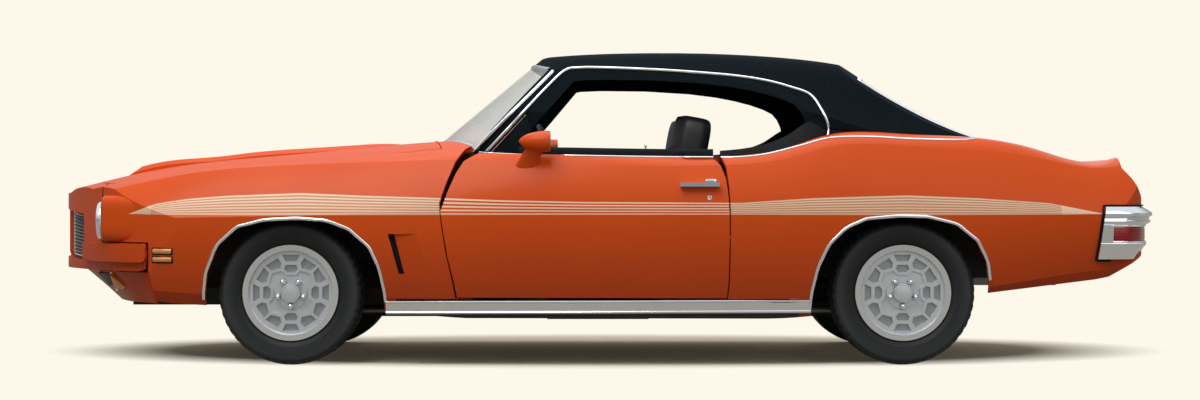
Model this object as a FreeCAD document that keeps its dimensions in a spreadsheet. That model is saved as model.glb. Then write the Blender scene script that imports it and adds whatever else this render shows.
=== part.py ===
import FreeCAD
import Part
import math
import os
import Sketcher
from FreeCAD import Placement, Rotation, Vector

# A two-door muscle car of the early seventies, in millimetres. +Z is up, the nose points to -X and
# the left side is -Y. The origin lies on the ground, midway between nose and tail.

doc = FreeCAD.newDocument("muscle_car")
sheet = doc.addObject("Spreadsheet::Sheet", "sizes")

driving_sizes = (
    # whole car
    ("overall_length", 5106),
    ("overall_width", 1930),
    ("overall_height", 1445),
    ("front_axle_to_middle", 1385),
    ("rear_axle_to_middle", 1376),
    ("track_width", 1520),
    # body panels
    ("panel_gap", 6),
    ("hinge_side_gap", 9),
    ("trunk_rear_gap", 12),
    ("skin_thickness", 28),
    ("roof_thickness", 30),
    ("door_thickness", 96),
    ("glass_thickness", 7),
    ("seat_clearance", 0.3),
    ("cut_overrun", 60),
    ("pillar_width", 44),
    # greenhouse
    ("belt_half_width", 868),
    ("belt_height", 945),
    ("rail_half_width", 640),
    ("rail_height", 1340),
    ("windshield_base_height", 1000),
    ("windshield_base_middle", 775),
    ("windshield_base_corner", 530),
    ("windshield_base_half_width", 785),
    ("windshield_top_height", 1380),
    ("windshield_top_middle", 318),
    ("windshield_top_corner", 185),
    ("windshield_top_half_width", 610),
    # wheels and tyres
    ("tyre_radius", 327),
    ("tyre_width", 220),
    ("bead_radius", 196),
    ("rim_radius", 216),
    ("rim_width", 196),
    ("rim_wall", 10),
    ("rim_lip_width", 14),
    ("wheel_face_recess", 24),
    ("wheel_face_thickness", 34),
    ("honeycomb_radius", 186),
    ("honeycomb_depth", 20),
    ("dish_depth", 12),
    ("hub_cone_radius", 72),
    ("lug_circle_radius", 59),
    ("lug_nut_radius", 10),
    ("lug_seat_radius", 15),
    ("lug_seat_depth", 7),
    ("lug_nut_length", 20),
    ("centre_cap_radius", 39),
    ("centre_cap_length", 22),
    # axles and knuckles
    ("kingpin_radius", 17),
    ("knuckle_height", 170),
    ("spindle_radius", 22),
    ("hub_radius", 70),
    ("hub_length", 30),
    ("brake_radius", 140),
    ("wheel_house_radius", 452),
    ("wheel_house_wall", 5),
    ("wheel_house_inner_side", 490),
    ("axle_tube_radius", 38),
    ("differential_radius", 98),
    ("differential_width", 230),
    ("prop_shaft_radius", 36),
    ("perch_width", 60),
    # chassis
    ("rail_section", 80),
    ("rail_half_spacing", 410),
    ("rail_underside", 255),
    ("rear_rail_height", 50),
    ("floor_height", 262),
    ("floor_thickness", 12),
    ("floor_front", 760),
    ("trunk_floor_height", 430),
    ("trunk_floor_end", 2235.7),
    ("tunnel_half_width", 150),
    ("tunnel_height", 170),
    # engine bay and running gear
    ("engine_length", 640),
    ("engine_width", 560),
    ("engine_height", 520),
    ("engine_underside", 270),
    ("engine_front", 1880),
    ("engine_mount_length", 60),
    ("engine_mount_height", 50),
    ("gearbox_length", 280),
    ("gearbox_width", 260),
    ("gearbox_height", 190),
    ("radiator_width", 700),
    ("radiator_height", 430),
    ("radiator_thickness", 60),
    ("radiator_place", 2130),
    ("exhaust_radius", 28),
    ("exhaust_half_spacing", 270),
    ("muffler_length", 480),
    ("muffler_radius", 42),
    ("exhaust_tip_radius", 36),
    ("exhaust_tip_length", 90),
    ("exhaust_end", 1550),
    ("tank_length", 420),
    ("tank_width", 720),
    ("tank_height", 88),
    # cabin
    ("seat_width", 500),
    ("seat_depth", 480),
    ("seat_cushion_thickness", 150),
    ("seat_back_height", 864),
    ("seat_back_thickness", 120),
    ("seat_half_spacing", 405),
    ("seat_place", -230),
    ("seat_height", 420),
    ("seat_recline", 18),
    ("dash_depth", 260),
    ("dash_height", 230),
    ("dash_half_width", 700),
    ("dash_top", 950),
    ("dash_front", 640),
    ("steering_wheel_radius", 190),
    ("steering_wheel_rim_radius", 13),
    ("steering_wheel_place", 198),
    ("steering_wheel_height", 913),
    ("steering_column_tilt", 24),
    ("steering_column_radius", 22),
    ("steering_column_length", 200.2),
    ("bench_length", 330),
    ("bench_height", 540),
    ("bench_back_height", 360),
    ("bench_half_width", 570),
    ("firewall_half_width", 480),
    ("firewall_knee", 760),
    ("firewall_head", 722),
    ("console_width", 150),
    ("console_height", 130),
    ("console_length", 620),
    ("striker_radius", 9),
    ("hood_stop_radius", 16),
    ("hinge_strap_width", 60),
    ("hinge_strap_thickness", 10),
    # bumpers, lamps and trim
    ("bumper_height", 236),
    ("bumper_bar_reach", 20),
    ("bumper_underside", 480),
    ("headlamp_radius", 88),
    ("headlamp_depth", 60),
    ("headlamp_height", 650),
    ("headlamp_half_spacing", 735),
    ("grille_rim", 14),
    ("grille_thickness", 12),
    ("lamp_recess", 22),
    ("mirror_height", 94),
    ("mirror_width", 110),
    ("mirror_length", 140),
    ("mirror_foot_length", 112),
    ("mirror_foot_width", 36),
    ("scoop_wall", 9),
    ("scoop_depth", 230),
    ("scoop_sweep", 60),
    ("vent_depth", 17),
    ("handle_length", 176),
    ("handle_height", 18),
    ("handle_reach", 24),
)
for row, (alias, value) in enumerate(driving_sizes, start=1):
    sheet.set(f"A{row}", alias)
    sheet.set(f"B{row}", str(value))
    sheet.setAlias(f"B{row}", alias)
doc.recompute()


class Size:
    """A length from the sheet: its value now, and the formula that binds it to the sheet."""

    def __init__(self, value, formula):
        self.value = float(value)
        self.formula = formula

    def joined(self, other, sign, swap=False):
        other = size(other)
        first, second = (other, self) if swap else (self, other)
        values = {
            "+": lambda: first.value + second.value,
            "-": lambda: first.value - second.value,
            "*": lambda: first.value * second.value,
            "/": lambda: first.value / second.value,
        }
        return Size(values[sign](), f"({first.formula} {sign} {second.formula})")

    def __add__(self, other):
        return self.joined(other, "+")

    def __radd__(self, other):
        return self.joined(other, "+", swap=True)

    def __sub__(self, other):
        return self.joined(other, "-")

    def __rsub__(self, other):
        return self.joined(other, "-", swap=True)

    def __mul__(self, other):
        return self.joined(other, "*")

    def __rmul__(self, other):
        return self.joined(other, "*", swap=True)

    def __truediv__(self, other):
        return self.joined(other, "/")

    def __neg__(self):
        return Size(0, "0") - self

    def __float__(self):
        return self.value


def size(value):
    """The value as a Size: a plain number keeps itself as its formula."""
    if isinstance(value, Size):
        return value
    return Size(value, repr(float(value)))


class Sheet:
    """Gives each size of the sheet by its name."""

    def __getattr__(self, name):
        return Size(getattr(sheet, name), f"sizes.{name}")


s = Sheet()


def bind(piece, place, value):
    """Ties one property of a piece to its formula."""
    piece.setExpression(place, size(value).formula)


nodes = {}


def node(piece, label):
    """Names a piece as one of the car's sub-parts."""
    piece.Label = label
    nodes[label] = piece
    return piece


def box(name, x, y, z):
    """A bound block between two places on each axis."""
    piece = doc.addObject("Part::Box", name)
    for axis, prop, (low, high) in (("x", "Length", x), ("y", "Width", y), ("z", "Height", z)):
        bind(piece, prop, size(high) - low)
        bind(piece, f"Placement.Base.{axis}", low)
    return piece


turned_to = {
    "x": Rotation(Vector(0, 1, 0), 90),
    "y": Rotation(Vector(1, 0, 0), -90),
    "z": Rotation(),
}


def rod(name, axis, radius, length, x, y, z):
    """A bound cylinder that starts at a place and runs along one axis."""
    piece = doc.addObject("Part::Cylinder", name)
    piece.Placement = Placement(Vector(), turned_to[axis])
    bind(piece, "Radius", radius)
    bind(piece, "Height", length)
    for letter, value in (("x", x), ("y", y), ("z", z)):
        bind(piece, f"Placement.Base.{letter}", value)
    return piece


def fused(name, pieces):
    """One piece out of several."""
    piece = doc.addObject("Part::MultiFuse", name)
    piece.Shapes = pieces
    return piece


def grouped(name, pieces):
    """Like pieces that don't touch, kept as separate solids."""
    piece = doc.addObject("Part::Compound", name)
    piece.Links = pieces
    return piece


def cut(name, piece, tool):
    """A piece less a tool."""
    left = doc.addObject("Part::Cut", name)
    left.Base = piece
    left.Tool = tool
    return left


def mirrored(name, piece):
    """The same piece on the other side of the car."""
    twin = doc.addObject("Part::Mirroring", name)
    twin.Source = piece
    twin.Normal = Vector(0, 1, 0)
    return twin


def sketch_on(body, name, role, points, offset=None):
    """A closed outline of bound points on one of the body's own planes."""
    sketch = body.newObject("Sketcher::SketchObject", name)
    plane = [item for item in body.Origin.OriginFeatures if item.Role == role][0]
    sketch.AttachmentSupport = [(plane, "")]
    sketch.MapMode = "FlatFace"
    if offset is not None:
        bind(sketch, "AttachmentOffset.Base.z", offset)
    places = [(size(a), size(b)) for a, b in points]
    count = len(places)
    for index in range(count):
        (ax, ay), (bx, by) = places[index], places[(index + 1) % count]
        start = Vector(float(ax), float(ay), 0)
        end = Vector(float(bx), float(by), 0)
        sketch.addGeometry(Part.LineSegment(start, end))
    for index in range(count):
        sketch.addConstraint(Sketcher.Constraint("Coincident", index, 2, (index + 1) % count, 1))
    for index, (px, py) in enumerate(places):
        for kind, value in (("DistanceX", px), ("DistanceY", py)):
            number = sketch.addConstraint(Sketcher.Constraint(kind, -1, 1, index, 1, float(value)))
            sketch.setExpression(f"Constraints[{number}]", value.formula)
    return sketch


def new_body(name, x=0, y=0, z=0):
    """An empty body, placed by bound values."""
    body = doc.addObject("PartDesign::Body", name)
    for letter, value in (("x", x), ("y", y), ("z", z)):
        bind(body, f"Placement.Base.{letter}", value)
    return body


def padded(body, name, sketch, length, midplane=True):
    """A pad, both ways from its sketch unless told otherwise."""
    pad = body.newObject("PartDesign::Pad", name)
    pad.Profile = sketch
    pad.Midplane = midplane
    bind(pad, "Length", length)
    return pad


def pocketed(body, name, sketch, depth, reverse=False, midplane=False):
    """A pocket to a bound depth."""
    pocket = body.newObject("PartDesign::Pocket", name)
    pocket.Profile = sketch
    pocket.Midplane = midplane
    pocket.Reversed = reverse
    bind(pocket, "Length", depth)
    return pocket


def repeated(body, name, features, count, axis):
    """Copies of features all round one of the body's own axes."""
    pattern = body.newObject("PartDesign::PolarPattern", name)
    pattern.Originals = features
    pattern.Axis = ([item for item in body.Origin.OriginFeatures if item.Role == axis][0], [""])
    pattern.Angle = 360
    pattern.Occurrences = count
    body.Tip = pattern
    return pattern


def turned(body, name, sketch, axis):
    """A full revolution about one of the body's own axes."""
    solid = body.newObject("PartDesign::Revolution", name)
    solid.Profile = sketch
    solid.ReferenceAxis = ([item for item in body.Origin.OriginFeatures if item.Role == axis][0], [""])
    solid.Angle = 360
    return solid


# The body's outer form. Shares of half the length, half the width and the height.
half_length = float(s.overall_length) / 2
half_width = float(s.overall_width) / 2
height = float(s.overall_height)
overrun = float(s.cut_overrun)


def curve(points):
    """One smooth edge through the points."""
    line = Part.BSplineCurve()
    line.interpolate([Vector(*point) for point in points])
    return line.toShape()


def straight(first, second):
    return Part.makeLine(Vector(*first), Vector(*second))


def solid_of(shape):
    """The one solid of a shape, the largest if a cut leaves crumbs."""
    return max(shape.Solids, key=lambda item: item.Volume)


def side_prism(points, near, far):
    """An outline in X and Z, run from one place on Y to another."""
    corners = [Vector(x, near, z) for x, z in points]
    return Part.Face(Part.makePolygon(corners + corners[:1])).extrude(Vector(0, far - near, 0))


def top_prism(points, low, high):
    """An outline in X and Y, run from one height to another."""
    corners = [Vector(x, y, low) for x, y in points]
    return Part.Face(Part.makePolygon(corners + corners[:1])).extrude(Vector(0, 0, high - low))


def smooth_top_prism(curves, low, high):
    """A plan outline of smooth runs of points, each run one edge."""
    edges = [
        curve([(x, y, low) for x, y in run]) if len(run) > 2
        else straight((*run[0], low), (*run[1], low))
        for run in curves
    ]
    return Part.Face(Part.Wire(edges)).extrude(Vector(0, 0, high - low))


def block(x, y, z):
    return Part.makeBox(x[1] - x[0], y[1] - y[0], z[1] - z[0], Vector(x[0], y[0], z[0]))


def grown(points, left, right, low, high):
    """An outline with its box widened by a gap on each side."""
    xs = [point[0] for point in points]
    zs = [point[1] for point in points]
    x_low, x_high, z_low, z_high = min(xs), max(xs), min(zs), max(zs)

    def moved(value, first, last, before, after):
        share = (value - first) / (last - first)
        return value - before + (before + after) * share

    return [
        (moved(x, x_low, x_high, left, right), moved(z, z_low, z_high, low, high))
        for x, z in points
    ]


body_section_shares = (
    (-1.042, 0.715, 0.253, 0.762, 0.298, 0.819, 0.422, 0.751, 0.478, 0.580, 0.493, 0.342, 0.500, 0.502),
    (-0.960, 0.767, 0.249, 0.813, 0.294, 0.881, 0.435, 0.793, 0.513, 0.622, 0.531, 0.352, 0.545, 0.548),
    (-0.881, 0.829, 0.232, 0.881, 0.273, 0.933, 0.448, 0.821, 0.541, 0.663, 0.561, 0.363, 0.579, 0.583),
    (-0.803, 0.881, 0.206, 0.922, 0.242, 0.964, 0.457, 0.835, 0.572, 0.686, 0.590, 0.368, 0.608, 0.613),
    (-0.705, 0.912, 0.190, 0.945, 0.225, 0.982, 0.462, 0.845, 0.603, 0.705, 0.613, 0.373, 0.632, 0.637),
    (-0.588, 0.922, 0.185, 0.955, 0.220, 0.992, 0.466, 0.850, 0.621, 0.717, 0.629, 0.383, 0.653, 0.661),
    (-0.470, 0.924, 0.181, 0.960, 0.217, 0.997, 0.471, 0.858, 0.630, 0.730, 0.646, 0.394, 0.671, 0.682),
    (-0.353, 0.924, 0.166, 0.962, 0.213, 1.000, 0.473, 0.876, 0.637, 0.744, 0.664, 0.404, 0.689, 0.702),
    (-0.235, 0.924, 0.149, 0.962, 0.210, 1.000, 0.473, 0.906, 0.642, 0.824, 0.673, 0.415, 0.698, 0.706),
    (-0.098, 0.924, 0.147, 0.962, 0.208, 1.000, 0.473, 0.935, 0.631, 0.899, 0.662, 0.819, 0.666, 0.668),
    (0.078, 0.924, 0.147, 0.962, 0.208, 1.000, 0.473, 0.938, 0.623, 0.897, 0.649, 0.819, 0.653, 0.654),
    (0.235, 0.924, 0.147, 0.962, 0.208, 1.000, 0.473, 0.933, 0.626, 0.891, 0.649, 0.819, 0.653, 0.654),
    (0.333, 0.924, 0.149, 0.964, 0.208, 1.000, 0.473, 0.922, 0.645, 0.877, 0.675, 0.808, 0.678, 0.678),
    (0.411, 0.924, 0.161, 0.964, 0.212, 1.000, 0.473, 0.904, 0.682, 0.852, 0.715, 0.777, 0.720, 0.720),
    (0.548, 0.922, 0.181, 0.964, 0.223, 1.000, 0.473, 0.893, 0.685, 0.841, 0.717, 0.762, 0.722, 0.722),
    (0.666, 0.917, 0.209, 0.959, 0.242, 0.995, 0.473, 0.881, 0.673, 0.821, 0.709, 0.725, 0.710, 0.710),
    (0.783, 0.907, 0.241, 0.945, 0.274, 0.982, 0.473, 0.862, 0.647, 0.796, 0.670, 0.663, 0.673, 0.673),
    (0.901, 0.881, 0.264, 0.917, 0.300, 0.955, 0.473, 0.835, 0.617, 0.771, 0.631, 0.632, 0.633, 0.633),
    (1.042, 0.829, 0.277, 0.865, 0.318, 0.912, 0.473, 0.794, 0.576, 0.732, 0.587, 0.580, 0.588, 0.588),
)
roof_section_shares = (
    (-0.353, 0.920, 0.580, 0.889, 0.672, 0.841),
    (-0.196, 0.963, 0.576, 0.933, 0.668, 0.893),
    (-0.098, 0.985, 0.576, 0.955, 0.666, 0.924),
    (0.000, 0.997, 0.576, 0.966, 0.665, 0.934),
    (0.098, 1.000, 0.576, 0.968, 0.664, 0.931),
    (0.196, 0.997, 0.576, 0.965, 0.663, 0.920),
    (0.294, 0.989, 0.574, 0.956, 0.663, 0.902),
    (0.392, 0.972, 0.572, 0.940, 0.663, 0.873),
    (0.490, 0.943, 0.568, 0.908, 0.663, 0.830),
    (0.627, 0.893, 0.560, 0.855, 0.663, 0.768),
    (0.783, 0.830, 0.549, 0.789, 0.663, 0.692),
)
backlight_section_shares = (
    (0.353, 1.080, 0.580, 1.026, 0.684, 0.997),
    (0.431, 0.988, 0.580, 0.938, 0.684, 0.907),
    (0.509, 0.897, 0.580, 0.855, 0.689, 0.828),
    (0.588, 0.815, 0.580, 0.782, 0.696, 0.761),
    (0.666, 0.747, 0.580, 0.724, 0.705, 0.710),
    (0.744, 0.696, 0.580, 0.682, 0.715, 0.675),
    (0.823, 0.657, 0.580, 0.647, 0.725, 0.644),
)
nose_plan_shares = (
    (-1.0000, 0.0000),
    (-0.9953, 0.1347),
    (-0.9792, 0.3005),
    (-0.9499, 0.4663),
    (-0.9127, 0.6321),
    (-0.8754, 0.7720),
    (-0.8382, 0.8725),
    (-0.7912, 0.9389),
    (-0.7364, 0.9793),
)
tail_plan_shares = (
    (0.7442, 1.0010),
    (0.8421, 0.9824),
    (0.9127, 0.9482),
    (0.9557, 0.8705),
    (0.9706, 0.7254),
    (0.9761, 0.4145),
    (0.9781, 0.0000),
)
side_profile_shares = (
    (-1.0576, 0.5135),
    (-1.0000, 0.5135),
    (-1.0000, 0.3516),
    (-0.9910, 0.2976),
    (-0.9714, 0.2754),
    (-0.8813, 0.2713),
    (-0.8578, 0.1938),
    (-0.7442, 0.1882),
    (-0.4700, 0.1813),
    (-0.2742, 0.1488),
    (0.3917, 0.1467),
    (0.6855, 0.2270),
    (0.8774, 0.2685),
    (0.9009, 0.2768),
    (0.9675, 0.3460),
    (0.9706, 0.5087),
    (0.9573, 0.5453),
    (0.9448, 0.5834),
    (0.9287, 0.6173),
    (0.9205, 0.8997),
    (-0.9205, 0.8997),
    (-0.9910, 0.5363),
)
door_outline_shares = (
    (-0.2182, 0.6623),
    (-0.2421, 0.6367),
    (-0.2550, 0.5979),
    (-0.2683, 0.5363),
    (-0.2785, 0.4789),
    (-0.2734, 0.4138),
    (-0.2664, 0.3349),
    (-0.2573, 0.2657),
    (-0.2511, 0.2048),
    (0.2311, 0.2028),
    (0.2335, 0.2505),
    (0.2338, 0.3308),
    (0.2338, 0.4623),
    (0.2327, 0.5253),
    (0.2299, 0.5813),
    (0.2225, 0.6215),
    (0.2092, 0.6471),
)
front_arch_shares = (
    (-0.6890, 0.1384),
    (-0.6898, 0.2215),
    (-0.6847, 0.2907),
    (-0.6659, 0.3723),
    (-0.6306, 0.4291),
    (-0.5836, 0.4498),
    (-0.5268, 0.4547),
    (-0.4759, 0.4484),
    (-0.4387, 0.4235),
    (-0.4034, 0.3702),
    (-0.3858, 0.3045),
    (-0.3768, 0.2284),
    (-0.3729, 0.1384),
)
rear_arch_shares = (
    (0.3752, 0.1384),
    (0.3768, 0.2215),
    (0.3878, 0.3045),
    (0.4074, 0.3772),
    (0.4367, 0.4277),
    (0.4720, 0.4540),
    (0.5288, 0.4623),
    (0.5778, 0.4595),
    (0.6267, 0.4388),
    (0.6627, 0.3875),
    (0.6808, 0.3253),
    (0.6863, 0.2561),
    (0.6870, 0.1384),
)
hood_outline_shares = (
    (-0.9644, 0.0000),
    (-0.9581, 0.1658),
    (-0.9385, 0.3420),
    (-0.9087, 0.5181),
    (-0.8813, 0.6321),
    (-0.8617, 0.6756),
    (-0.8030, 0.6881),
    (-0.7051, 0.7047),
    (-0.5875, 0.7171),
    (-0.4700, 0.7295),
    (-0.3525, 0.7440),
    (-0.2789, 0.7596),
    (-0.2879, 0.6218),
    (-0.3094, 0.3627),
    (-0.3251, 0.0000),
)
nose_region_shares = (
    (-1.0576, 0.2941),
    (-1.0576, 0.6920),
    (-0.8860, 0.6920),
    (-0.8860, 0.3820),
    (-0.7951, 0.3799),
    (-0.7920, 0.3460),
    (-0.7951, 0.3017),
    (-0.8069, 0.2941),
)
valance_region_shares = (
    (-1.0576, 0.2900),
    (-0.8092, 0.2900),
    (-0.7795, 0.1972),
    (-0.7795, 0.1038),
    (-1.0576, 0.1038),
)
fender_region_shares = (
    (-0.8837, 0.7612),
    (-0.8837, 0.3862),
    (-0.7897, 0.3841),
    (-0.7897, 0.2941),
    (-0.7771, 0.1972),
    (-0.7771, 0.1038),
    (-0.3525, 0.1038),
    (-0.3545, 0.2090),
    (-0.2193, 0.2090),
    (-0.2193, 0.7612),
)
window_shares = (
    (-0.1457, 0.6228),
    (-0.1457, 0.6830),
    (-0.0439, 0.8907),
    (-0.0353, 0.8941),
    (0.0039, 0.8969),
    (0.0940, 0.8955),
    (0.1833, 0.8858),
    (0.2350, 0.8747),
    (0.2726, 0.8623),
    (0.3055, 0.8478),
    (0.3322, 0.8318),
    (0.3502, 0.8166),
    (0.3611, 0.7958),
    (0.3674, 0.7716),
    (0.3705, 0.7509),
    (0.3674, 0.7280),
    (0.3596, 0.7093),
    (0.3447, 0.6934),
    (0.3212, 0.6817),
    (0.2938, 0.6747),
    (0.2742, 0.6228),
)
door_face_shares = (
    (-1.0881, 0.1038),
    (-0.8808, 0.1038),
    (-0.8974, 0.4775),
    (-0.8767, 0.5536),
    (-0.8187, 0.6644),
    (-0.8187, 0.6920),
    (-1.0881, 0.6920),
)
windshield_shares = (
    (0.0000, 0.6505),
    (0.8352, 0.6505),
    (0.8311, 0.6678),
    (0.6342, 0.9308),
    (0.3109, 0.9488),
    (0.0000, 0.9536),
)
backlight_shares = (
    (0.0000, 0.6505),
    (0.5927, 0.6505),
    (0.5865, 0.7197),
    (0.5306, 0.8927),
    (0.3109, 0.9149),
    (0.0000, 0.9204),
)
nose_seam_share = -0.8860
valance_seam_share = 0.2900
fender_back_share = -0.2193
cowl_front_share = -0.3525
cowl_back_share = -0.1841
cowl_side_share = 0.7637
deck_front_share = 0.1958
deck_back_share = 0.7344
deck_side_share = 0.6632
tail_front_share = 0.9362
backlight_front_share = 0.4309
bumper_plan_shares = (
    (1.0000, 0.0000),
    (0.9988, 0.4145),
    (0.9941, 0.6736),
    (0.9832, 0.8290),
    (0.9655, 0.9326),
    (0.9401, 0.9896),
    (0.9009, 0.9969),
    (0.8931, 0.9585),
    (0.9205, 0.9119),
    (0.9401, 0.8290),
    (0.9518, 0.6632),
    (0.9557, 0.0000),
)
bumper_front_share = 0.8931
rocker_back_share = 0.3545
rocker_top_share = 0.2048
headlamp_front_share = 0.8860
mirror_front_share, mirror_height_share = -0.1379, 0.6976
mirror_side_share, mirror_foot_share, mirror_neck_share = 0.104, 0.20, 0.55
mirror_foot_side_share = 0.925
valance_top_plan_shares = (
    (-0.9616, 0.0000),
    (-0.9581, 0.1658),
    (-0.9420, 0.3420),
    (-0.9146, 0.5078),
    (-0.8813, 0.6632),
    (-0.8480, 0.7824),
    (-0.8186, 0.8601),
    (-0.7991, 0.9036),
)
valance_bottom_plan_shares = (
    (-0.8931, 0.0000),
    (-0.8911, 0.1658),
    (-0.8813, 0.3420),
    (-0.8637, 0.5078),
    (-0.8402, 0.6632),
    (-0.8147, 0.7720),
    (-0.7912, 0.8446),
    (-0.7775, 0.8808),
)
valance_top_share = 0.2900
valance_bottom_share = 0.1938
valance_back_share = -0.7756
valance_wall_share = 0.7
trunk_outline_shares = (
    (0.7333, 0.0000),
    (0.7293, 0.2073),
    (0.7176, 0.4145),
    (0.7062, 0.5803),
    (0.7074, 0.6632),
    (0.7834, 0.6632),
    (0.8617, 0.6549),
    (0.9322, 0.6218),
    (0.9393, 0.4145),
    (0.9416, 0.0000),
)
shelf_front_share = 0.5092
grille_hole_shares = (
    (0.0642, 0.3294),
    (0.0642, 0.4927),
    (0.5389, 0.4706),
    (0.5389, 0.3197),
)
lamp_reach_share = 0.8421
tail_valance_shares = (
    (0.8774, 0.2685),
    (0.9675, 0.3460),
    (0.9675, 0.3599),
    (0.8758, 0.2789),
)
tail_lamp_middle_share = 0.3109
tail_lamp_low_share, tail_lamp_high_share = 0.29, 0.61
handle_front_share, handle_height_share = 0.1441, 0.5578
lamp_inset_share = 0.3
bumper_face_points = 7
quarter_region_shares = (
    (0.2115, 0.2090),
    (0.3545, 0.2090),
    (0.3525, 0.1038),
    (0.9362, 0.1038),
    (0.9362, 0.8304),
    (0.2115, 0.8304),
)


def body_section(row, skin):
    """One closed section of the lower body, set in from the outside by the skin."""
    x = row[0] * half_length
    pairs = [(row[1 + 2 * i] * half_width, row[2 + 2 * i] * height) for i in range(6)]
    (yb, zb), (yr, zr), (yc, zc), (ys, zs), (yg, zg), (yh, zh) = pairs
    middle = row[13] * height - skin
    left = [
        (yb - skin, zb - skin),
        (yr - skin, zr),
        (yc - skin, zc),
        (ys - skin * 0.8, zs - skin * 0.6),
        (yg - skin * 0.3, zg - skin),
        (yh, zh - skin),
    ]
    edges = []
    for side in (-1, 1):
        run = [(x, side * y, z) for y, z in left]
        part = [
            straight(run[0], run[1]),
            curve([run[1], swell(run[1], run[2], side * lower_swell_share), run[2]]),
            curve([run[2], swell(run[2], run[3], side * upper_swell_share), run[3]]),
            curve([run[3], swell(run[3], run[4], side * crown_swell_share), run[4]]),
            curve([run[4], swell(run[4], run[5], side * crown_swell_share), run[5]]),
        ]
        edges.append((run, part))
    (near, near_edges), (far, far_edges) = edges
    top = curve([near[5], (x, near[5][1] / 2, (near[5][2] + middle * 3) / 4), (x, 0, middle),
                 (x, far[5][1] / 2, (far[5][2] + middle * 3) / 4), far[5]])
    return Part.Wire(near_edges + [top] + far_edges[::-1] + [straight(far[0], near[0])])


lower_swell_share = 0.025
upper_swell_share = 0.045
crown_swell_share = 0.06


def swell(first, last, share):
    """A point between two, pushed out sideways by a share of their distance."""
    across = last[1] - first[1]
    rise = last[2] - first[2]
    return (first[0], (first[1] + last[1]) / 2 + rise * share, (first[2] + last[2]) / 2 - across * share)


def body_block(skin):
    wires = [body_section(row, skin) for row in body_section_shares]
    return Part.makeLoft(wires, True, False)


def trimmed_outside(points):
    return [(x * half_length, z * height) for x, z in points]


def plan(points, sign=1):
    return [(x * half_length, sign * y * half_width) for x, y in points]


def plan_block(inset):
    """What the nose and tail leave in plan."""
    nose = plan(nose_plan_shares)
    tail = plan(tail_plan_shares)
    nose = [(x + inset, max(y - inset, 0)) for x, y in nose]
    tail = [(x - inset, max(y - inset, 0)) for x, y in tail]
    whole_nose = [(x, y) for x, y in nose[::-1]] + [(x, -y) for x, y in nose[1:]]
    whole_tail = [(x, -y) for x, y in tail] + [(x, y) for x, y in tail[::-1][1:]]
    wide = half_width + overrun
    runs = [
        whole_nose,
        [whole_nose[-1], (whole_nose[-1][0], -wide)],
        [(whole_nose[-1][0], -wide), (whole_tail[0][0], -wide)],
        [(whole_tail[0][0], -wide), whole_tail[0]],
        whole_tail,
        [whole_tail[-1], (whole_tail[-1][0], wide)],
        [(whole_tail[-1][0], wide), (whole_nose[0][0], wide)],
        [(whole_nose[0][0], wide), whole_nose[0]],
    ]
    return smooth_top_prism(runs, -overrun, height + overrun)


def crown_line(row, drop, width_share):
    """The crowned top line of one section of the roof or backlight, and its outer end."""
    x = row[0] * half_length
    middle, seam_y, seam_z = row[1] * height - drop, row[2] * half_width, row[3] * height - drop
    edge_y, edge_z = row[4] * half_width, row[5] * height - drop
    side = half_width * width_share
    fall = (middle - seam_z) * crown_fall_share
    outside_z = edge_z - (seam_z - edge_z) * (side - edge_y) / (edge_y - seam_y)
    top = [(x, 0, middle), (x, seam_y / 2, middle - fall), (x, seam_y, seam_z), (x, edge_y, edge_z),
           (x, side, outside_z)]
    return [(x, -y, z) for x, y, z in top[::-1]] + top[1:]


def crowned_block(rows, drop, foot_share, width_share):
    """Everything between a crowned surface and a flat foot, or a flat head above it."""
    wires = []
    low = height * foot_share
    for row in rows:
        line = crown_line(row, drop, width_share)
        first, last = line[0], line[-1]
        wires.append(Part.Wire([
            curve(line),
            straight(last, (last[0], last[1], low)),
            straight((last[0], last[1], low), (first[0], first[1], low)),
            straight((first[0], first[1], low), first),
        ]))
    return Part.makeLoft(wires, True, False)


def crowned_slab(rows, thickness, width_share):
    """The wall right under a crowned surface."""
    wires = []
    for row in rows:
        line = crown_line(row, 0, width_share)
        under = crown_line(row, thickness, width_share)
        wires.append(Part.Wire([
            curve(line),
            straight(line[-1], under[-1]),
            curve(under[::-1]),
            straight(under[0], line[0]),
        ]))
    return Part.makeLoft(wires, True, False)


roof_foot_share, above_backlight_share = 0.40, 1.3
roof_width_share, backlight_width_share = 0.78, 0.83
crown_fall_share = 0.22


def side_block(inset):
    """The tumblehome: straight sides from belt to roof rail, run past both."""
    lean = (float(s.belt_half_width) - float(s.rail_half_width)) / (
        float(s.rail_height) - float(s.belt_height))
    low = float(s.belt_height) - overrun * 2
    high = height + overrun
    corners = []
    for z in (low, high):
        corners.append((float(s.belt_half_width) - (z - float(s.belt_height)) * lean - inset, z))
    points = [(-corners[0][0], low), (corners[0][0], low), (corners[1][0], high), (-corners[1][0], high)]
    loop = [Vector(-half_length, y, z) for y, z in points]
    return Part.Face(Part.makePolygon(loop + loop[:1])).extrude(Vector(half_length * 2, 0, 0))


windshield_bow_share = 2.2
windshield_reach_share = 1.4


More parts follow.
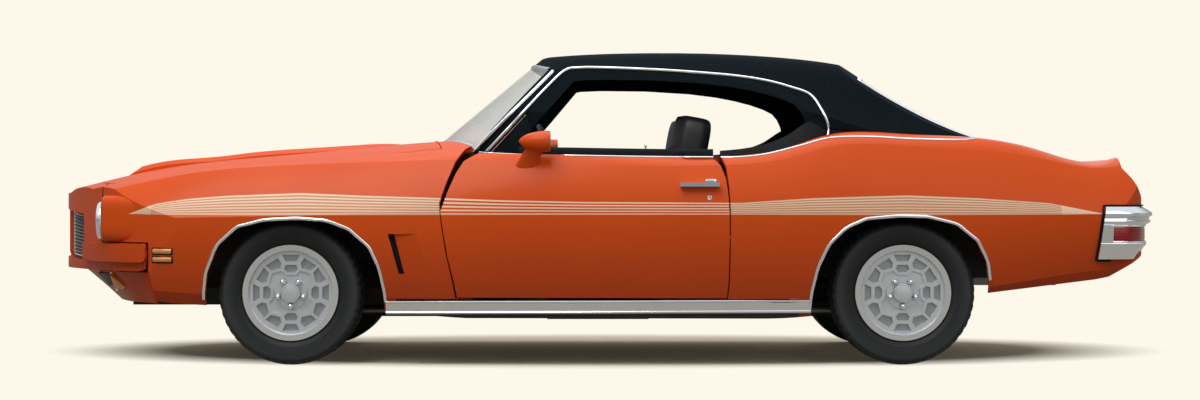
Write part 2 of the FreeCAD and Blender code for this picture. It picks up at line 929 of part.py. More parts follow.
def windshield_line(z, inset):
    """The windshield's bowed line in plan at one height, run past its corners."""
    base_z, top_z = float(s.windshield_base_height), float(s.windshield_top_height)
    base_mid, top_mid = float(s.windshield_base_middle), float(s.windshield_top_middle)
    base_corner, top_corner = float(s.windshield_base_corner), float(s.windshield_top_corner)
    base_y, top_y = float(s.windshield_base_half_width), float(s.windshield_top_half_width)
    run = []
    for step in (-1, -0.5, 0, 0.5, 1):
        y = base_y * windshield_reach_share * step
        low_x = -base_mid + (base_mid - base_corner) * (abs(y) / base_y) ** windshield_bow_share
        high_x = -top_mid + (top_mid - top_corner) * (abs(y) / top_y) ** windshield_bow_share
        x = low_x + (high_x - low_x) * (z - base_z) / (top_z - base_z)
        run.append((x + inset, y, z))
    return run


def windshield_heights():
    return (float(s.windshield_base_height) - overrun * 2, float(s.windshield_top_height) + overrun * 1.5)


def windshield_block(inset):
    """Everything behind the windshield, run past base and header."""
    wires = []
    for z in windshield_heights():
        run = windshield_line(z, inset)
        back = half_length
        wires.append(Part.Wire([
            curve(run),
            straight(run[-1], (back, run[-1][1], z)),
            straight((back, run[-1][1], z), (back, run[0][1], z)),
            straight((back, run[0][1], z), run[0]),
        ]))
    return Part.makeLoft(wires, True, True)


def windshield_slab(thickness):
    """The windshield's own wall."""
    wires = []
    for z in windshield_heights():
        run, back = windshield_line(z, 0), windshield_line(z, thickness)
        wires.append(Part.Wire([
            curve(run),
            straight(run[-1], back[-1]),
            curve(back[::-1]),
            straight(back[0], run[0]),
        ]))
    return Part.makeLoft(wires, True, True)


def greenhouse(roof_drop, side_inset, front_inset, back_drop):
    """The cabin's outer form above the belt, or its inside when set in."""
    whole = crowned_block(roof_section_shares, roof_drop, roof_foot_share, roof_width_share)
    whole = whole.cut(crowned_block(backlight_section_shares, back_drop, above_backlight_share,
                                    backlight_width_share))
    whole = whole.common(side_block(side_inset))
    return solid_of(whole.common(windshield_block(front_inset)))


def front_prism(points, near, far):
    """An outline in Y and Z, run from one place on X to another."""
    loop = [Vector(near, y, z) for y, z in points]
    return Part.Face(Part.makePolygon(loop + loop[:1])).extrude(Vector(far - near, 0, 0))


def both_sides(points):
    """The left half of an outline and its mirror, as one closed loop."""
    return [(-a, b) for a, b in points] + [(a, b) for a, b in points[::-1] if a > 0]


wide = half_width + overrun
skin = float(s.skin_thickness)
gap = float(s.panel_gap)

outer = body_block(0.0).common(plan_block(0.0))
outer = solid_of(outer.common(side_prism(trimmed_outside(side_profile_shares), -wide, wide)))


def inside_of(inset):
    """The room inside the body, set in from its outside on all sides but below."""
    line = [(x * (half_length - inset), z * height - (inset if z < open_foot_share else 0))
            for x, z in side_profile_shares]
    room = body_block(inset).common(plan_block(inset))
    return solid_of(room.common(side_prism(line, -wide, wide)))


open_foot_share = 0.36
inner = inside_of(skin)
shell = outer.cut(inner)
clear = float(s.seat_clearance)
lining = inside_of(skin + clear)

hood_plan = plan(hood_outline_shares, -1)
trunk_plan = plan(trunk_outline_shares, -1)


def whole_plan(points):
    """A left plan outline closed with its mirror."""
    return points + [(x, -y) for x, y in points[::-1] if abs(y) > 0]


def lid_prism(points, spread, behind):
    wider = grown(whole_plan(points), spread, behind, spread, spread)
    return top_prism(wider, height * lid_floor_share - spread, height + overrun)


lid_floor_share = 0.55

hood_hole = lid_prism(hood_plan, gap / 2, gap / 2)
trunk_hole = lid_prism(trunk_plan, gap / 2, float(s.trunk_rear_gap) - gap / 2)
door_outline = [(x * half_length, z * height) for x, z in door_outline_shares]
plug_taper_share = 0.03


def door_plug(before, after, below, above):
    """The tapered plug that a door fills: smaller towards the cabin."""
    wires = []
    for y, taper in ((-wide, 0), (-half_width * door_inner_share, 1)):
        fall = (max(x for x, z in door_outline) - min(x for x, z in door_outline)) * plug_taper_share * taper
        points = grown(door_outline, before - fall, after - fall, below - fall, above)
        loop = [Vector(x, y, z) for x, z in points]
        wires.append(Part.makePolygon(loop + loop[:1]))
    return Part.makeLoft(wires, True, True)


door_inner_share = 0.76
striker_height_share, door_rear_point = 0.40, 11
hinge_gap = float(s.hinge_side_gap)
aperture = door_plug(hinge_gap, gap, gap, overrun)
front_arch = side_prism([(x * half_length, z * height) for x, z in front_arch_shares], -wide, wide)
rear_arch = side_prism([(x * half_length, z * height) for x, z in rear_arch_shares], -wide, wide)


def shaped(name, shape):
    """A sub-part whose form only Part's own functions give."""
    piece = doc.addObject("Part::Feature", name)
    piece.Shape = shape
    piece.Placement = Placement()
    return node(piece, name)


def left_of(shape, low, high):
    """The left side of the car between two places on X."""
    return shape.common(block((low, high), (-wide, -gap / 2), (-overrun, height + overrun)))


strap_place_shares = (0.66, 0.695, 0.75)
strap_middle_share = 0.47
nose_seam = nose_seam_share * half_length
valance_seam = valance_seam_share * height
fender_back = fender_back_share * half_length

nose_region = side_prism([(x * half_length, z * height) for x, z in nose_region_shares], -wide, wide)
lamp_radius = float(s.headlamp_radius)
lamp_space = lamp_radius + float(s.seat_clearance)
lamp_holes = [
    Part.makeCylinder(lamp_space, half_length, Vector(-half_length - overrun, side * float(s.headlamp_half_spacing),
                                                      float(s.headlamp_height)), Vector(1, 0, 0))
    for side in (-1, 1)
]
bumper_bar_shares = (
    (-1.02, 0.345),
    (-1.02, 0.368),
    (-0.90, 0.379),
    (-0.80, 0.3799),
    (-0.7951, 0.370),
    (-0.7930, 0.3460),
    (-0.7951, 0.328),
    (-0.8020, 0.3222),
    (-0.90, 0.3222),
)
bar_start_share = 0.60
grille_corners = [(y * half_width, z * height) for y, z in grille_hole_shares]
grille_holes = [
    front_prism([(side * y, z) for y, z in grille_corners], -half_length - overrun, -half_length / 2)
    for side in (-1, 1)
]
nose = shell.common(nose_region).cut(hood_hole)
# The bumper's bar stands out from both corners of the nose.
bar_reach = float(s.bumper_bar_reach)
bar_region = side_prism([(x * half_length, z * height) for x, z in bumper_bar_shares], -wide, wide)
bar = body_block(-bar_reach).common(plan_block(-bar_reach)).common(bar_region).cut(inner)
nose = nose.fuse(bar.cut(block((-half_length * 2, 0), (-bar_start_share * half_width, bar_start_share * half_width),
                               (0, height))))
for tool in lamp_holes + grille_holes:
    nose = nose.cut(tool)
shaped("front_bumper", solid_of(nose))
grille_rim = float(s.grille_rim)
grille_back = skin + clear * 2
grille_walls = plan_block(grille_back).cut(plan_block(grille_back + float(s.grille_thickness)))
grille_pieces = [
    grille_walls.common(front_prism(
        grown([(side * y, z) for y, z in grille_corners], grille_rim, grille_rim, grille_rim, grille_rim),
        -half_length - overrun, -half_length / 2))
    for side in (-1, 1)
]
shaped("grilles", Part.makeCompound([solid_of(piece) for piece in grille_pieces]))


def plan_wire(points, z, inset, back):
    """A bowed plan line at one height, closed behind by a straight line."""
    run = [(x + inset, y) for x, y in plan(points, -1)]
    run = [(x, y) for x, y in run if x < back] + [(back, run[-1][1] + inset)]
    line = [(x, y, z) for x, y in run[::-1]] + [(x, -y, z) for x, y in run[1:]]
    return Part.Wire([curve(line), straight(line[-1], line[0])])


valance_high = valance_top_share * height
valance_low = valance_bottom_share * height
valance_back = valance_back_share * half_length
valance_walls = [
    Part.makeLoft([
        plan_wire(valance_top_plan_shares, valance_high, inset, valance_back),
        plan_wire(valance_bottom_plan_shares, valance_low, inset, valance_back),
    ], True, True)
    for inset in (0, skin * valance_wall_share)
]
valance = valance_walls[0].cut(valance_walls[1])
fender_sides = side_prism([(x * half_length, z * height) for x, z in fender_region_shares], -wide, wide)
valance = valance.cut(fender_sides)
shaped("front_valance", solid_of(valance))
valance_region = side_prism([(x * half_length, z * height) for x, z in valance_region_shares], -wide, wide)

fender_region = side_prism([(x * half_length, z * height) for x, z in fender_region_shares], -wide, 0)
cowl_region = block(
    (cowl_front_share * half_length, cowl_back_share * half_length),
    (-cowl_side_share * half_width, cowl_side_share * half_width),
    (height * lid_floor_share, height),
)
fender = shell.common(fender_region)
for tool in (nose_region, valance_region, hood_hole, aperture, front_arch, cowl_region, lamp_holes[0]):
    fender = fender.cut(tool)
# The vent behind the front wheel: a slot, and a hollow that runs out behind it.
vent_slot_shares = ((-0.3674, 0.4111), (-0.3564, 0.4111), (-0.3392, 0.2872), (-0.3486, 0.2872))
vent_level_shares = ((0.4111, -0.3650, -0.3180, 0.998), (0.2872, -0.3470, -0.3000, 0.981))
hollow = []
for z, front, back, side in vent_level_shares:
    z, front, back, side = z * height, front * half_length, back * half_length, side * half_width
    loop = [Vector(front, -wide, z), Vector(front, -side + float(s.vent_depth), z),
            Vector(back, -side, z), Vector(back, -wide, z)]
    hollow.append(Part.makePolygon(loop + loop[:1]))
fender = fender.cut(Part.makeLoft(hollow, True, True))
fender = fender.cut(side_prism([(x * half_length, z * height) for x, z in vent_slot_shares], -wide, 0))
fender_left = shaped("fender_left", solid_of(fender))
node(mirrored("fender_right", fender_left), "fender_right")



def scoop_block(side, inset):
    """A hood scoop from its front to its tail, run down into the car."""
    wires = []
    for x, near, far, top in scoop_section_shares:
        high = top * height - inset
        edge = scoop_edge_share * height
        foot = lid_floor_share * height
        near, far = near * half_width + inset, far * half_width - inset
        points = [(near, foot), (near, high - edge), (near + edge, high), (far - edge * 2, high - edge / 2),
                  (far, high - edge * 2), (far, foot)]
        loop = [Vector(x * half_length, side * y, z) for y, z in points]
        wires.append(Part.makePolygon(loop + loop[:1]))
    return Part.makeLoft(wires, True, False)


def scoop_front(side):
    """What the leaning, swept mouth leaves free ahead of a scoop."""
    wires = []
    for y, back in ((0, 0), (half_width, float(s.scoop_sweep) * half_width / float(s.headlamp_half_spacing))):
        loop = [Vector(x * half_length + back, side * y, z * height) for x, z in scoop_mouth_shares]
        wires.append(Part.makePolygon(loop + loop[:1]))
    return Part.makeLoft(wires, True, True)


# Two scoops stand on the hood: open in front, fading out towards the cowl.
scoop_edge_share = 0.009
scoop_section_shares = (
    (-0.9100, 0.150, 0.490, 0.597),
    (-0.8540, 0.150, 0.490, 0.617),
    (-0.8081, 0.150, 0.488, 0.6388),
    (-0.7301, 0.150, 0.480, 0.6547),
    (-0.6412, 0.150, 0.468, 0.6713),
    (-0.5523, 0.151, 0.455, 0.6844),
    (-0.4634, 0.152, 0.440, 0.6945),
    (-0.3900, 0.154, 0.425, 0.7000),
    (-0.3525, 0.156, 0.415, 0.6940),
)
scoop_mouth_shares = ((-1.0, 0.52), (-0.9100, 0.52), (-0.8850, 0.575), (-0.8520, 0.6180), (-0.8300, 0.6470), (-1.0, 0.6470))
hood = solid_of(shell.common(lid_prism(hood_plan, -gap / 2, -gap / 2)))
scoop_wall = float(s.scoop_wall)
mouth_back = scoop_section_shares[0][0] * half_length + float(s.scoop_depth)
for side in (-1, 1):
    mouth = scoop_block(side, scoop_wall).common(
        block((-half_length, mouth_back), (-wide, wide), (0, height))).cut(outer)
    scoop = scoop_block(side, 0).cut(inner).cut(scoop_front(side)).cut(mouth)
    hood = hood.fuse(solid_of(scoop))
shaped("hood", solid_of(hood))
trunk = solid_of(shell.common(lid_prism(trunk_plan, -gap / 2, -gap / 2)))
shaped("trunk_lid", trunk)
cowl = solid_of(shell.common(cowl_region).cut(hood_hole))
shaped("cowl", cowl)

door_face = front_prism([(y * half_width, z * height) for y, z in door_face_shares], -half_length, half_length)
door = solid_of(outer.common(door_plug(0, 0, 0, 0)).common(door_face))
door_left = shaped("door_left", door)
node(mirrored("door_right", door_left), "door_right")

quarter_region = side_prism([(x * half_length, z * height) for x, z in quarter_region_shares], -wide, 0)
deck_region = block(
    (deck_front_share * half_length, deck_back_share * half_length),
    (-deck_side_share * half_width, deck_side_share * half_width),
    (height * lid_floor_share, height),
)
tail_region = block((tail_front_share * half_length, half_length), (-wide, wide), (0, height))
quarter = outer.common(quarter_region).cut(inner)
for tool in (trunk_hole, aperture, deck_region, rear_arch):
    quarter = solid_of(quarter.cut(tool))
# The striker that the door's latch closes on stands off the rear jamb.
striker_height = striker_height_share * height
striker = Part.makeCylinder(
    float(s.striker_radius), float(s.door_thickness),
    Vector(door_outline[door_rear_point][0] - float(s.door_thickness) / 2, -half_width + skin / 2, striker_height), Vector(1, 0, 0))
quarter = solid_of(quarter.fuse(striker.cut(door_plug(clear, clear, clear, clear)).common(outer)))
quarter_left = shaped("quarter_left", quarter)
node(mirrored("quarter_right", quarter_left), "quarter_right")
tail = shell.common(tail_region).cut(trunk_hole)
under_tail = side_prism([(x * half_length, z * height) for x, z in tail_valance_shares], -wide, wide)
tail = tail.fuse(under_tail.common(outer).cut(shell))
shaped("rear_panel", solid_of(tail))
shelf = shell.common(deck_region).cut(trunk_hole)
shelf = shelf.cut(block((-half_length, shelf_front_share * half_length), (-wide, wide), (0, height)))
# Two hinge straps reach from the shelf under the front edge of the trunk lid.
strap = float(s.hinge_strap_thickness)
strap_front, strap_split, strap_back = [share * half_length for share in strap_place_shares]
under_strap = inside_of(skin + clear + strap)
for side in (-1, 1):
    middle = side * half_width * strap_middle_share
    across = (middle - float(s.hinge_strap_width) / 2, middle + float(s.hinge_strap_width) / 2)
    plate = lining.common(block((strap_front, strap_back), across, (height / 2, height))).cut(under_strap)
    foot = inner.common(block((strap_front, strap_split), across, (height / 2, height))).cut(under_strap)
    shelf = shelf.fuse(plate.fuse(foot))
shaped("package_shelf", solid_of(shelf))

pillar = float(s.pillar_width)
roof_skin = float(s.roof_thickness)
glass = float(s.glass_thickness)
cabin = greenhouse(0, 0, 0, 0)
cabin_inside = greenhouse(roof_skin, pillar, pillar, roof_skin)
windshield_hole = front_prism(both_sides([(y * half_width, z * height) for y, z in windshield_shares]),
                              -half_length / 2, 0)
backlight_hole = front_prism(both_sides([(y * half_width, z * height) for y, z in backlight_shares]),
                             half_length * backlight_front_share, half_length)
window_hole = side_prism([(x * half_length, z * height) for x, z in window_shares], -wide, wide)
roof = cabin.cut(cabin_inside)
for tool in (windshield_hole, backlight_hole, window_hole, outer, trunk_hole):
    roof = roof.cut(tool)
shaped("roof", solid_of(roof))
windshield = windshield_slab(glass).common(windshield_hole).cut(outer)
shaped("windshield", solid_of(windshield))
rear_window = crowned_slab(backlight_section_shares, glass, backlight_width_share)
rear_window = rear_window.common(backlight_hole).cut(outer).cut(trunk_hole)
shaped("rear_window", solid_of(rear_window))


# Wheels: a cast rim whose face is a honeycomb of sunk cells round a dish, turned about the Y axis.
outer_cell_shares = ((0.21, 0.92), (-0.21, 0.92), (-0.135, 0.76), (0.135, 0.76))
inner_cell_shares = ((0.13, 0.675), (-0.13, 0.675), (-0.165, 0.575), (-0.09, 0.495), (0.09, 0.495), (0.165, 0.575))
slanted_cell_shares = ((0.325, 0.845), (0.615, 0.655), (0.485, 0.535), (0.26, 0.595), (0.235, 0.72))
dish_corner_shares = ((0.13, 0.43), (0.225, 0.535), (0.465, 0.465), (0.535, 0.225), (0.43, 0.13))


def turned_points(points, quarters):
    """Shares of the honeycomb's radius, turned by so many quarter turns."""
    for _ in range(quarters):
        points = [(-b, a) for a, b in points]
    return [(s.honeycomb_radius * a, s.honeycomb_radius * b) for a, b in points]


def wheel(label):
    """One rim: barrel, face, honeycomb, dish, hub cone, nuts and centre cap. Outer face towards -Y."""
    body = new_body(label)
    half = s.rim_width / 2
    lip = s.rim_lip_width
    wall = s.rim_wall
    face = -half + s.wheel_face_recess
    back = face + s.wheel_face_thickness
    cap = s.centre_cap_radius
    profile = sketch_on(body, f"{label}_profile", "YZ_Plane", [
        (face - s.centre_cap_length, 0),
        (face - s.centre_cap_length, cap - wall / 2),
        (face - s.centre_cap_length + wall / 2, cap),
        (face, cap),
        (face, s.honeycomb_radius),
        (-half, s.honeycomb_radius + wall / 2),
        (-half, s.rim_radius),
        (-half + lip, s.rim_radius),
        (-half + lip, s.bead_radius),
        (half - lip, s.bead_radius),
        (half - lip, s.rim_radius),
        (half, s.rim_radius),
        (half, s.bead_radius - wall),
        (back, s.bead_radius - wall * 2),
        (back, 0),
    ])
    turned(body, f"{label}_turned", profile, "Y_Axis")
    return body, face, back


def cells(body, label, face):
    """A quarter of the honeycomb: an outer, an inner and two slanted cells, sunk in the face."""
    mirrored_cell_shares = tuple((b, a) for a, b in slanted_cell_shares[::-1])
    pockets = []
    for name, shares in (("outer", outer_cell_shares), ("inner", inner_cell_shares),
                         ("slanted", slanted_cell_shares), ("steep", mirrored_cell_shares)):
        outline = sketch_on(body, f"{label}_{name}_cell", "XZ_Plane", turned_points(shares, 0), -face)
        pockets.append(pocketed(body, f"{label}_{name}_pocket", outline, s.honeycomb_depth))
    return pockets


def dish(body, label, face):
    """The recess between the cells and the hub cone, which keeps its own round wall."""
    corners = []
    for quarters in range(4):
        corners += turned_points(dish_corner_shares[::-1], quarters)
    outline = sketch_on(body, f"{label}_dish_outline", "XZ_Plane", corners, -face)
    ring(outline, 0, 0, s.hub_cone_radius)
    return pocketed(body, f"{label}_dish", outline, s.dish_depth)


def ring(sketch, x, y, radius):
    """Adds a bound circle to a sketch."""
    x, y = size(x), size(y)
    circle = sketch.addGeometry(Part.Circle(Vector(float(x), float(y), 0), Vector(0, 0, 1), float(radius)))
    for kind, value, where in (("DistanceX", x, 3), ("DistanceY", y, 3)):
        number = sketch.addConstraint(Sketcher.Constraint(kind, -1, 1, circle, where, float(value)))
        sketch.setExpression(f"Constraints[{number}]", value.formula)
    number = sketch.addConstraint(Sketcher.Constraint("Radius", circle, float(radius)))
    sketch.setExpression(f"Constraints[{number}]", radius.formula)


def nuts(body, label, face):
    """One sunk seat with its nut, for a pattern of five."""
    seat_outline = sketch_on(body, f"{label}_nut_seat", "XZ_Plane", [], -face)
    ring(seat_outline, 0, -s.lug_circle_radius, s.lug_seat_radius)
    seat_pocket = pocketed(body, f"{label}_seat_pocket", seat_outline, s.lug_seat_depth)
    nut_outline = sketch_on(body, f"{label}_nut", "XZ_Plane", [], -face - s.lug_seat_depth)
    ring(nut_outline, 0, -s.lug_circle_radius, s.lug_nut_radius)
    nut = padded(body, f"{label}_nut_pad", nut_outline, s.lug_nut_length, midplane=False)
    return [seat_pocket, nut]


for_front = ("front_left", "front_right", "rear_left", "rear_right")
axle_of = {"front": -s.front_axle_to_middle, "rear": s.rear_axle_to_middle}
side_of = {"left": -1, "right": 1}


def tyre(label):
    """A radial tyre with flat tread and rounded shoulders."""
    body = new_body(label)
    half = s.tyre_width / 2
    radius = s.tyre_radius
    bead = s.bead_radius + s.seat_clearance
    seat = s.rim_width / 2 - s.rim_lip_width - s.seat_clearance
    rise = radius - bead
    profile = sketch_on(body, f"{label}_profile", "YZ_Plane", [
        (-seat, bead),
        (-seat, s.rim_radius + s.seat_clearance),
        (-half * 0.95, bead + rise * 0.28),
        (-half, bead + rise * 0.55),
        (-half * 0.94, bead + rise * 0.84),
        (-half * 0.80, bead + rise * 0.97),
        (-half * 0.60, radius),
        (half * 0.60, radius),
        (half * 0.80, bead + rise * 0.97),
        (half * 0.94, bead + rise * 0.84),
        (half, bead + rise * 0.55),
        (half * 0.95, bead + rise * 0.28),
        (seat, s.rim_radius + s.seat_clearance),
        (seat, bead),
    ])
    turned(body, f"{label}_turned", profile, "Y_Axis")
    return body


for place in for_front:
    end, side = place.split("_")
    sign = side_of[side]
    x = axle_of[end]
    y = s.track_width / 2 * sign
    label = f"rim_{place}"
    rim, face, back = wheel(label)
    repeated(rim, f"{label}_cells", cells(rim, label, face), 4, "Y_Axis")
    dish(rim, label, face)
    repeated(rim, f"{label}_nuts", nuts(rim, label, face), 5, "Y_Axis")
    bind(rim, "Placement.Base.x", x)
    bind(rim, "Placement.Base.y", y)
    bind(rim, "Placement.Base.z", s.tyre_radius)
    if side == "right":
        rim.Placement = Placement(rim.Placement.Base, Rotation(Vector(0, 0, 1), 180))
    node(rim, label)
    rubber = tyre(f"tyre_{place}")
    bind(rubber, "Placement.Base.x", x)
    bind(rubber, "Placement.Base.y", y)
    bind(rubber, "Placement.Base.z", s.tyre_radius)
    node(rubber, f"tyre_{place}")

# Knuckles: a kingpin post, a hub and a steering arm on each side.
x, z = -s.front_axle_to_middle, s.tyre_radius
rim_back = s.track_width / 2 + s.rim_width / 2 - s.wheel_face_recess - s.wheel_face_thickness
hub_out = rim_back - s.seat_clearance
hub_in = rim_back - s.hub_length
post_y = hub_in - s.kingpin_radius * 2
post = box("knuckle_post", (x - s.kingpin_radius, x + s.kingpin_radius),
           (-post_y - s.kingpin_radius, -post_y + s.kingpin_radius),
           (z - s.knuckle_height / 2, z + s.knuckle_height / 2))
spindle = rod("knuckle_spindle", "y", s.spindle_radius, hub_in - post_y, x, -hub_in, z)
hub = rod("knuckle_hub", "y", s.hub_radius, s.hub_length - s.seat_clearance, x, -hub_out, z)
knuckle_left = node(fused("knuckle_left", [post, spindle, hub]), "knuckle_left")
node(mirrored("knuckle_right", knuckle_left), "knuckle_right")

# Suspension: a cross member with lower and upper arms that hold the kingpins.
arm_y = post_y - s.kingpin_radius - s.seat_clearance
low_arm_z = z - s.knuckle_height / 2
members = [
    box("cross_member", (x - s.rail_section / 2, x + s.rail_section / 2),
        (-s.rail_half_spacing - s.rail_section / 2, s.rail_half_spacing + s.rail_section / 2),
        (s.rail_underside - s.rail_section / 2, s.rail_underside - s.seat_clearance)),
]
for name, sign in (("left", -1), ("right", 1)):
    inner_y, outer_y = s.rail_half_spacing * sign, (post_y + s.kingpin_radius) * sign
    low_y, high_y = (outer_y, inner_y) if sign < 0 else (inner_y, outer_y)
    members.append(box(f"lower_arm_{name}", (x - s.rail_section / 2, x + s.rail_section / 2),
                       (low_y, high_y),
                       (s.rail_underside - s.rail_section / 2,
                        low_arm_z - s.seat_clearance)))
node(fused("front_suspension", members), "front_suspension")

# Rear axle with its differential and the shaft from the gearbox.
rear_x = s.rear_axle_to_middle
rear_hub_y = rim_back - s.seat_clearance
axle_parts = [
    rod("axle_tube", "y", s.axle_tube_radius, rear_hub_y * 2, rear_x, -rear_hub_y, z),
    rod("differential", "y", s.differential_radius, s.differential_width, rear_x, -s.differential_width / 2, z),
    rod("brake_left", "y", s.brake_radius, s.hub_length, rear_x, -rear_hub_y + s.hub_length, z),
    rod("brake_right", "y", s.brake_radius, s.hub_length, rear_x, rear_hub_y - s.hub_length * 2, z),
]
perch_top = s.trunk_floor_height - s.seat_clearance - s.rear_rail_height - s.seat_clearance
for name, sign in (("left", -1), ("right", 1)):
    y = s.rail_half_spacing * sign
    axle_parts.append(box(f"perch_{name}", (rear_x - s.perch_width / 2, rear_x + s.perch_width / 2),
                          (y - s.perch_width / 2, y + s.perch_width / 2), (z, perch_top)))
gearbox_back = -s.engine_front + s.engine_length + s.gearbox_length
axle_parts.append(rod("prop_shaft", "x", s.prop_shaft_radius, rear_x - gearbox_back - s.seat_clearance,
                      gearbox_back + s.seat_clearance, 0, z))
node(fused("rear_axle", axle_parts), "rear_axle")

# Chassis rails, floor, engine and what hangs under the car.
rail_low, rail_high = s.rail_underside, s.rail_underside + s.rail_section
rail_front = -s.radiator_place - s.rail_section / 2
kick_start = rear_x - s.wheel_house_radius
kick_front = kick_start - s.rail_section
under_floor = s.floor_height - s.seat_clearance
under_trunk = s.trunk_floor_height - s.seat_clearance
mid_low = s.rail_underside - s.rail_section / 2
rear_low = under_trunk - s.rear_rail_height
rail_line = [
    (rail_front, rail_low),
    (rail_front, rail_high),
    (-s.floor_front - s.rail_section, rail_high),
    (-s.floor_front - s.seat_clearance, under_floor),
    (kick_front, under_floor),
    (kick_start, under_trunk),
    (s.trunk_floor_end, under_trunk),
    (s.trunk_floor_end, rear_low),
    (kick_start + s.rail_section / 2, rear_low),
    (kick_front, mid_low),
    (-s.floor_front, mid_low),
    (-s.floor_front - s.rail_section, rail_low),
]
rails = []
for name, sign in (("left", -1), ("right", 1)):
    rail = new_body(f"rail_{name}", 0, s.rail_half_spacing * sign, 0)
    padded(rail, f"rail_pad_{name}", sketch_on(rail, f"rail_side_{name}", "XZ_Plane", rail_line), s.rail_section)
    rails.append(rail)
rails.append(box("front_cross_rail", (rail_front, rail_front + s.rail_section),
                 (-s.rail_half_spacing, s.rail_half_spacing), (rail_low, rail_high)))
rails.append(box("rear_cross_rail", (s.trunk_floor_end - s.rail_section, s.trunk_floor_end),
                 (-s.rail_half_spacing, s.rail_half_spacing), (rear_low, under_trunk)))
node(fused("frame", rails), "frame")

# Floor with its tunnel, footwell and raised trunk floor, drawn from the side.
floor = new_body("floor_pan")
level, thick = s.floor_height, s.floor_thickness
toe = s.floor_front + s.tunnel_height
side_line = [
    (-toe, level + s.tunnel_height),
    (-s.floor_front, level),
    (kick_front, level),
    (kick_start, s.trunk_floor_height),
    (s.trunk_floor_end, s.trunk_floor_height),
    (s.trunk_floor_end, s.trunk_floor_height + thick),
    (kick_start - thick, s.trunk_floor_height + thick),
    (kick_front - thick, level + thick),
    (-s.floor_front + thick / 2, level + thick),
    (-toe + thick, level + s.tunnel_height + thick),
]
floor_sketch = sketch_on(floor, "floor_side", "XZ_Plane", side_line)
padded(floor, "floor_plate", floor_sketch, s.overall_width)
tunnel_sketch = sketch_on(floor, "tunnel_end", "YZ_Plane", [
    (-s.tunnel_half_width, level + thick / 2),
    (-s.tunnel_half_width / 2, level + s.tunnel_height),
    (s.tunnel_half_width / 2, level + s.tunnel_height),
    (s.tunnel_half_width, level + thick / 2),
])
tunnel_sketch.AttachmentOffset = Placement()
bind(tunnel_sketch, "AttachmentOffset.Base.z", -toe)
padded(floor, "tunnel", tunnel_sketch, toe + kick_start, midplane=False)
hollow_sketch = sketch_on(floor, "tunnel_inside", "YZ_Plane", [
    (-s.tunnel_half_width + thick, level - thick),
    (-s.tunnel_half_width + thick, level),
    (-s.tunnel_half_width / 2, level + s.tunnel_height - thick),
    (s.tunnel_half_width / 2, level + s.tunnel_height - thick),
    (s.tunnel_half_width - thick, level),
    (s.tunnel_half_width - thick, level - thick),
], -toe - thick)
pocketed(floor, "tunnel_hollow", hollow_sketch, toe + kick_start + thick * 3, reverse=True)
arch_wells = sketch_on(floor, "wheel_wells", "XY_Plane", [
    (rear_x - s.wheel_house_radius - thick, s.wheel_house_inner_side - s.seat_clearance),
    (rear_x - s.wheel_house_radius - thick, s.overall_width),
    (rear_x + s.wheel_house_radius + thick, s.overall_width),
    (rear_x + s.wheel_house_radius + thick, s.wheel_house_inner_side - s.seat_clearance),
], s.trunk_floor_height + thick * 2)
well = pocketed(floor, "well_left", arch_wells, s.trunk_floor_height + thick * 3)
wells = floor.newObject("PartDesign::Mirrored", "wells")
wells.Originals = [well]
wells.MirrorPlane = ([item for item in floor.Origin.OriginFeatures if item.Role == "XZ_Plane"][0], [""])
floor.Tip = wells
inside = doc.addObject("Part::Feature", "body_inside")
inside.Shape = lining


def lined(name, piece):
    """What of a piece lies within the body's skins."""
    part = doc.addObject("Part::Common", name)
    part.Base = piece
    part.Tool = inside
    return part


node(lined("floor_pan", floor), "floor_pan")

# Engine as one plain block with its gearbox, radiator, exhaust and tank.
engine_x = -s.engine_front
engine = fused("engine", [
    box("engine_block", (engine_x, engine_x + s.engine_length), (-s.engine_width / 2, s.engine_width / 2),
        (s.engine_underside, s.engine_underside + s.engine_height)),
    box("gearbox", (engine_x + s.engine_length, gearbox_back), (-s.gearbox_width / 2, s.gearbox_width / 2),
        (s.engine_underside - s.floor_thickness, s.engine_underside - s.floor_thickness + s.gearbox_height)),
    box("engine_mounts", (engine_x + s.engine_length / 2, engine_x + s.engine_length / 2 + s.engine_mount_length),
        (-s.rail_half_spacing + s.rail_section / 2 + s.seat_clearance,
         s.rail_half_spacing - s.rail_section / 2 - s.seat_clearance),
        (rail_high - s.engine_mount_height, rail_high)),
])
node(engine, "engine")
core = [box("radiator_core", (-s.radiator_place, -s.radiator_place + s.radiator_thickness),
            (-s.radiator_width / 2, s.radiator_width / 2),
            (rail_high + s.seat_clearance, rail_high + s.radiator_height))]
for name, sign in (("left", -1), ("right", 1)):
    core.append(rod(f"hood_stop_{name}", "z", s.hood_stop_radius, s.radiator_height,
                    -s.radiator_place + s.radiator_thickness / 2,
                    (s.radiator_width / 2 - s.hood_stop_radius * 2) * sign,
                    rail_high + s.radiator_height - s.hood_stop_radius))
node(lined("radiator", fused("radiator_whole", core)), "radiator")
pipes = []
pipe_z = s.floor_height - s.muffler_radius - s.seat_clearance
for name, sign in (("left", -1), ("right", 1)):
    y = s.exhaust_half_spacing * sign
    pipes.append(rod(f"pipe_{name}", "x", s.exhaust_radius, s.engine_front + s.exhaust_end - s.engine_length,
                     engine_x + s.engine_length, y, pipe_z))
    pipes.append(rod(f"tip_{name}", "x", s.exhaust_tip_radius, s.exhaust_tip_length, s.exhaust_end, y, pipe_z))
    pipes.append(rod(f"muffler_{name}", "x", s.muffler_radius, s.muffler_length,
                     -s.muffler_length / 2, y, pipe_z))
node(grouped("exhaust", [fused(f"exhaust_{name}", pipes[3 * i:3 * i + 3])
                         for i, name in enumerate(("left", "right"))]), "exhaust")
tank_back = s.trunk_floor_end - s.rail_section - s.seat_clearance
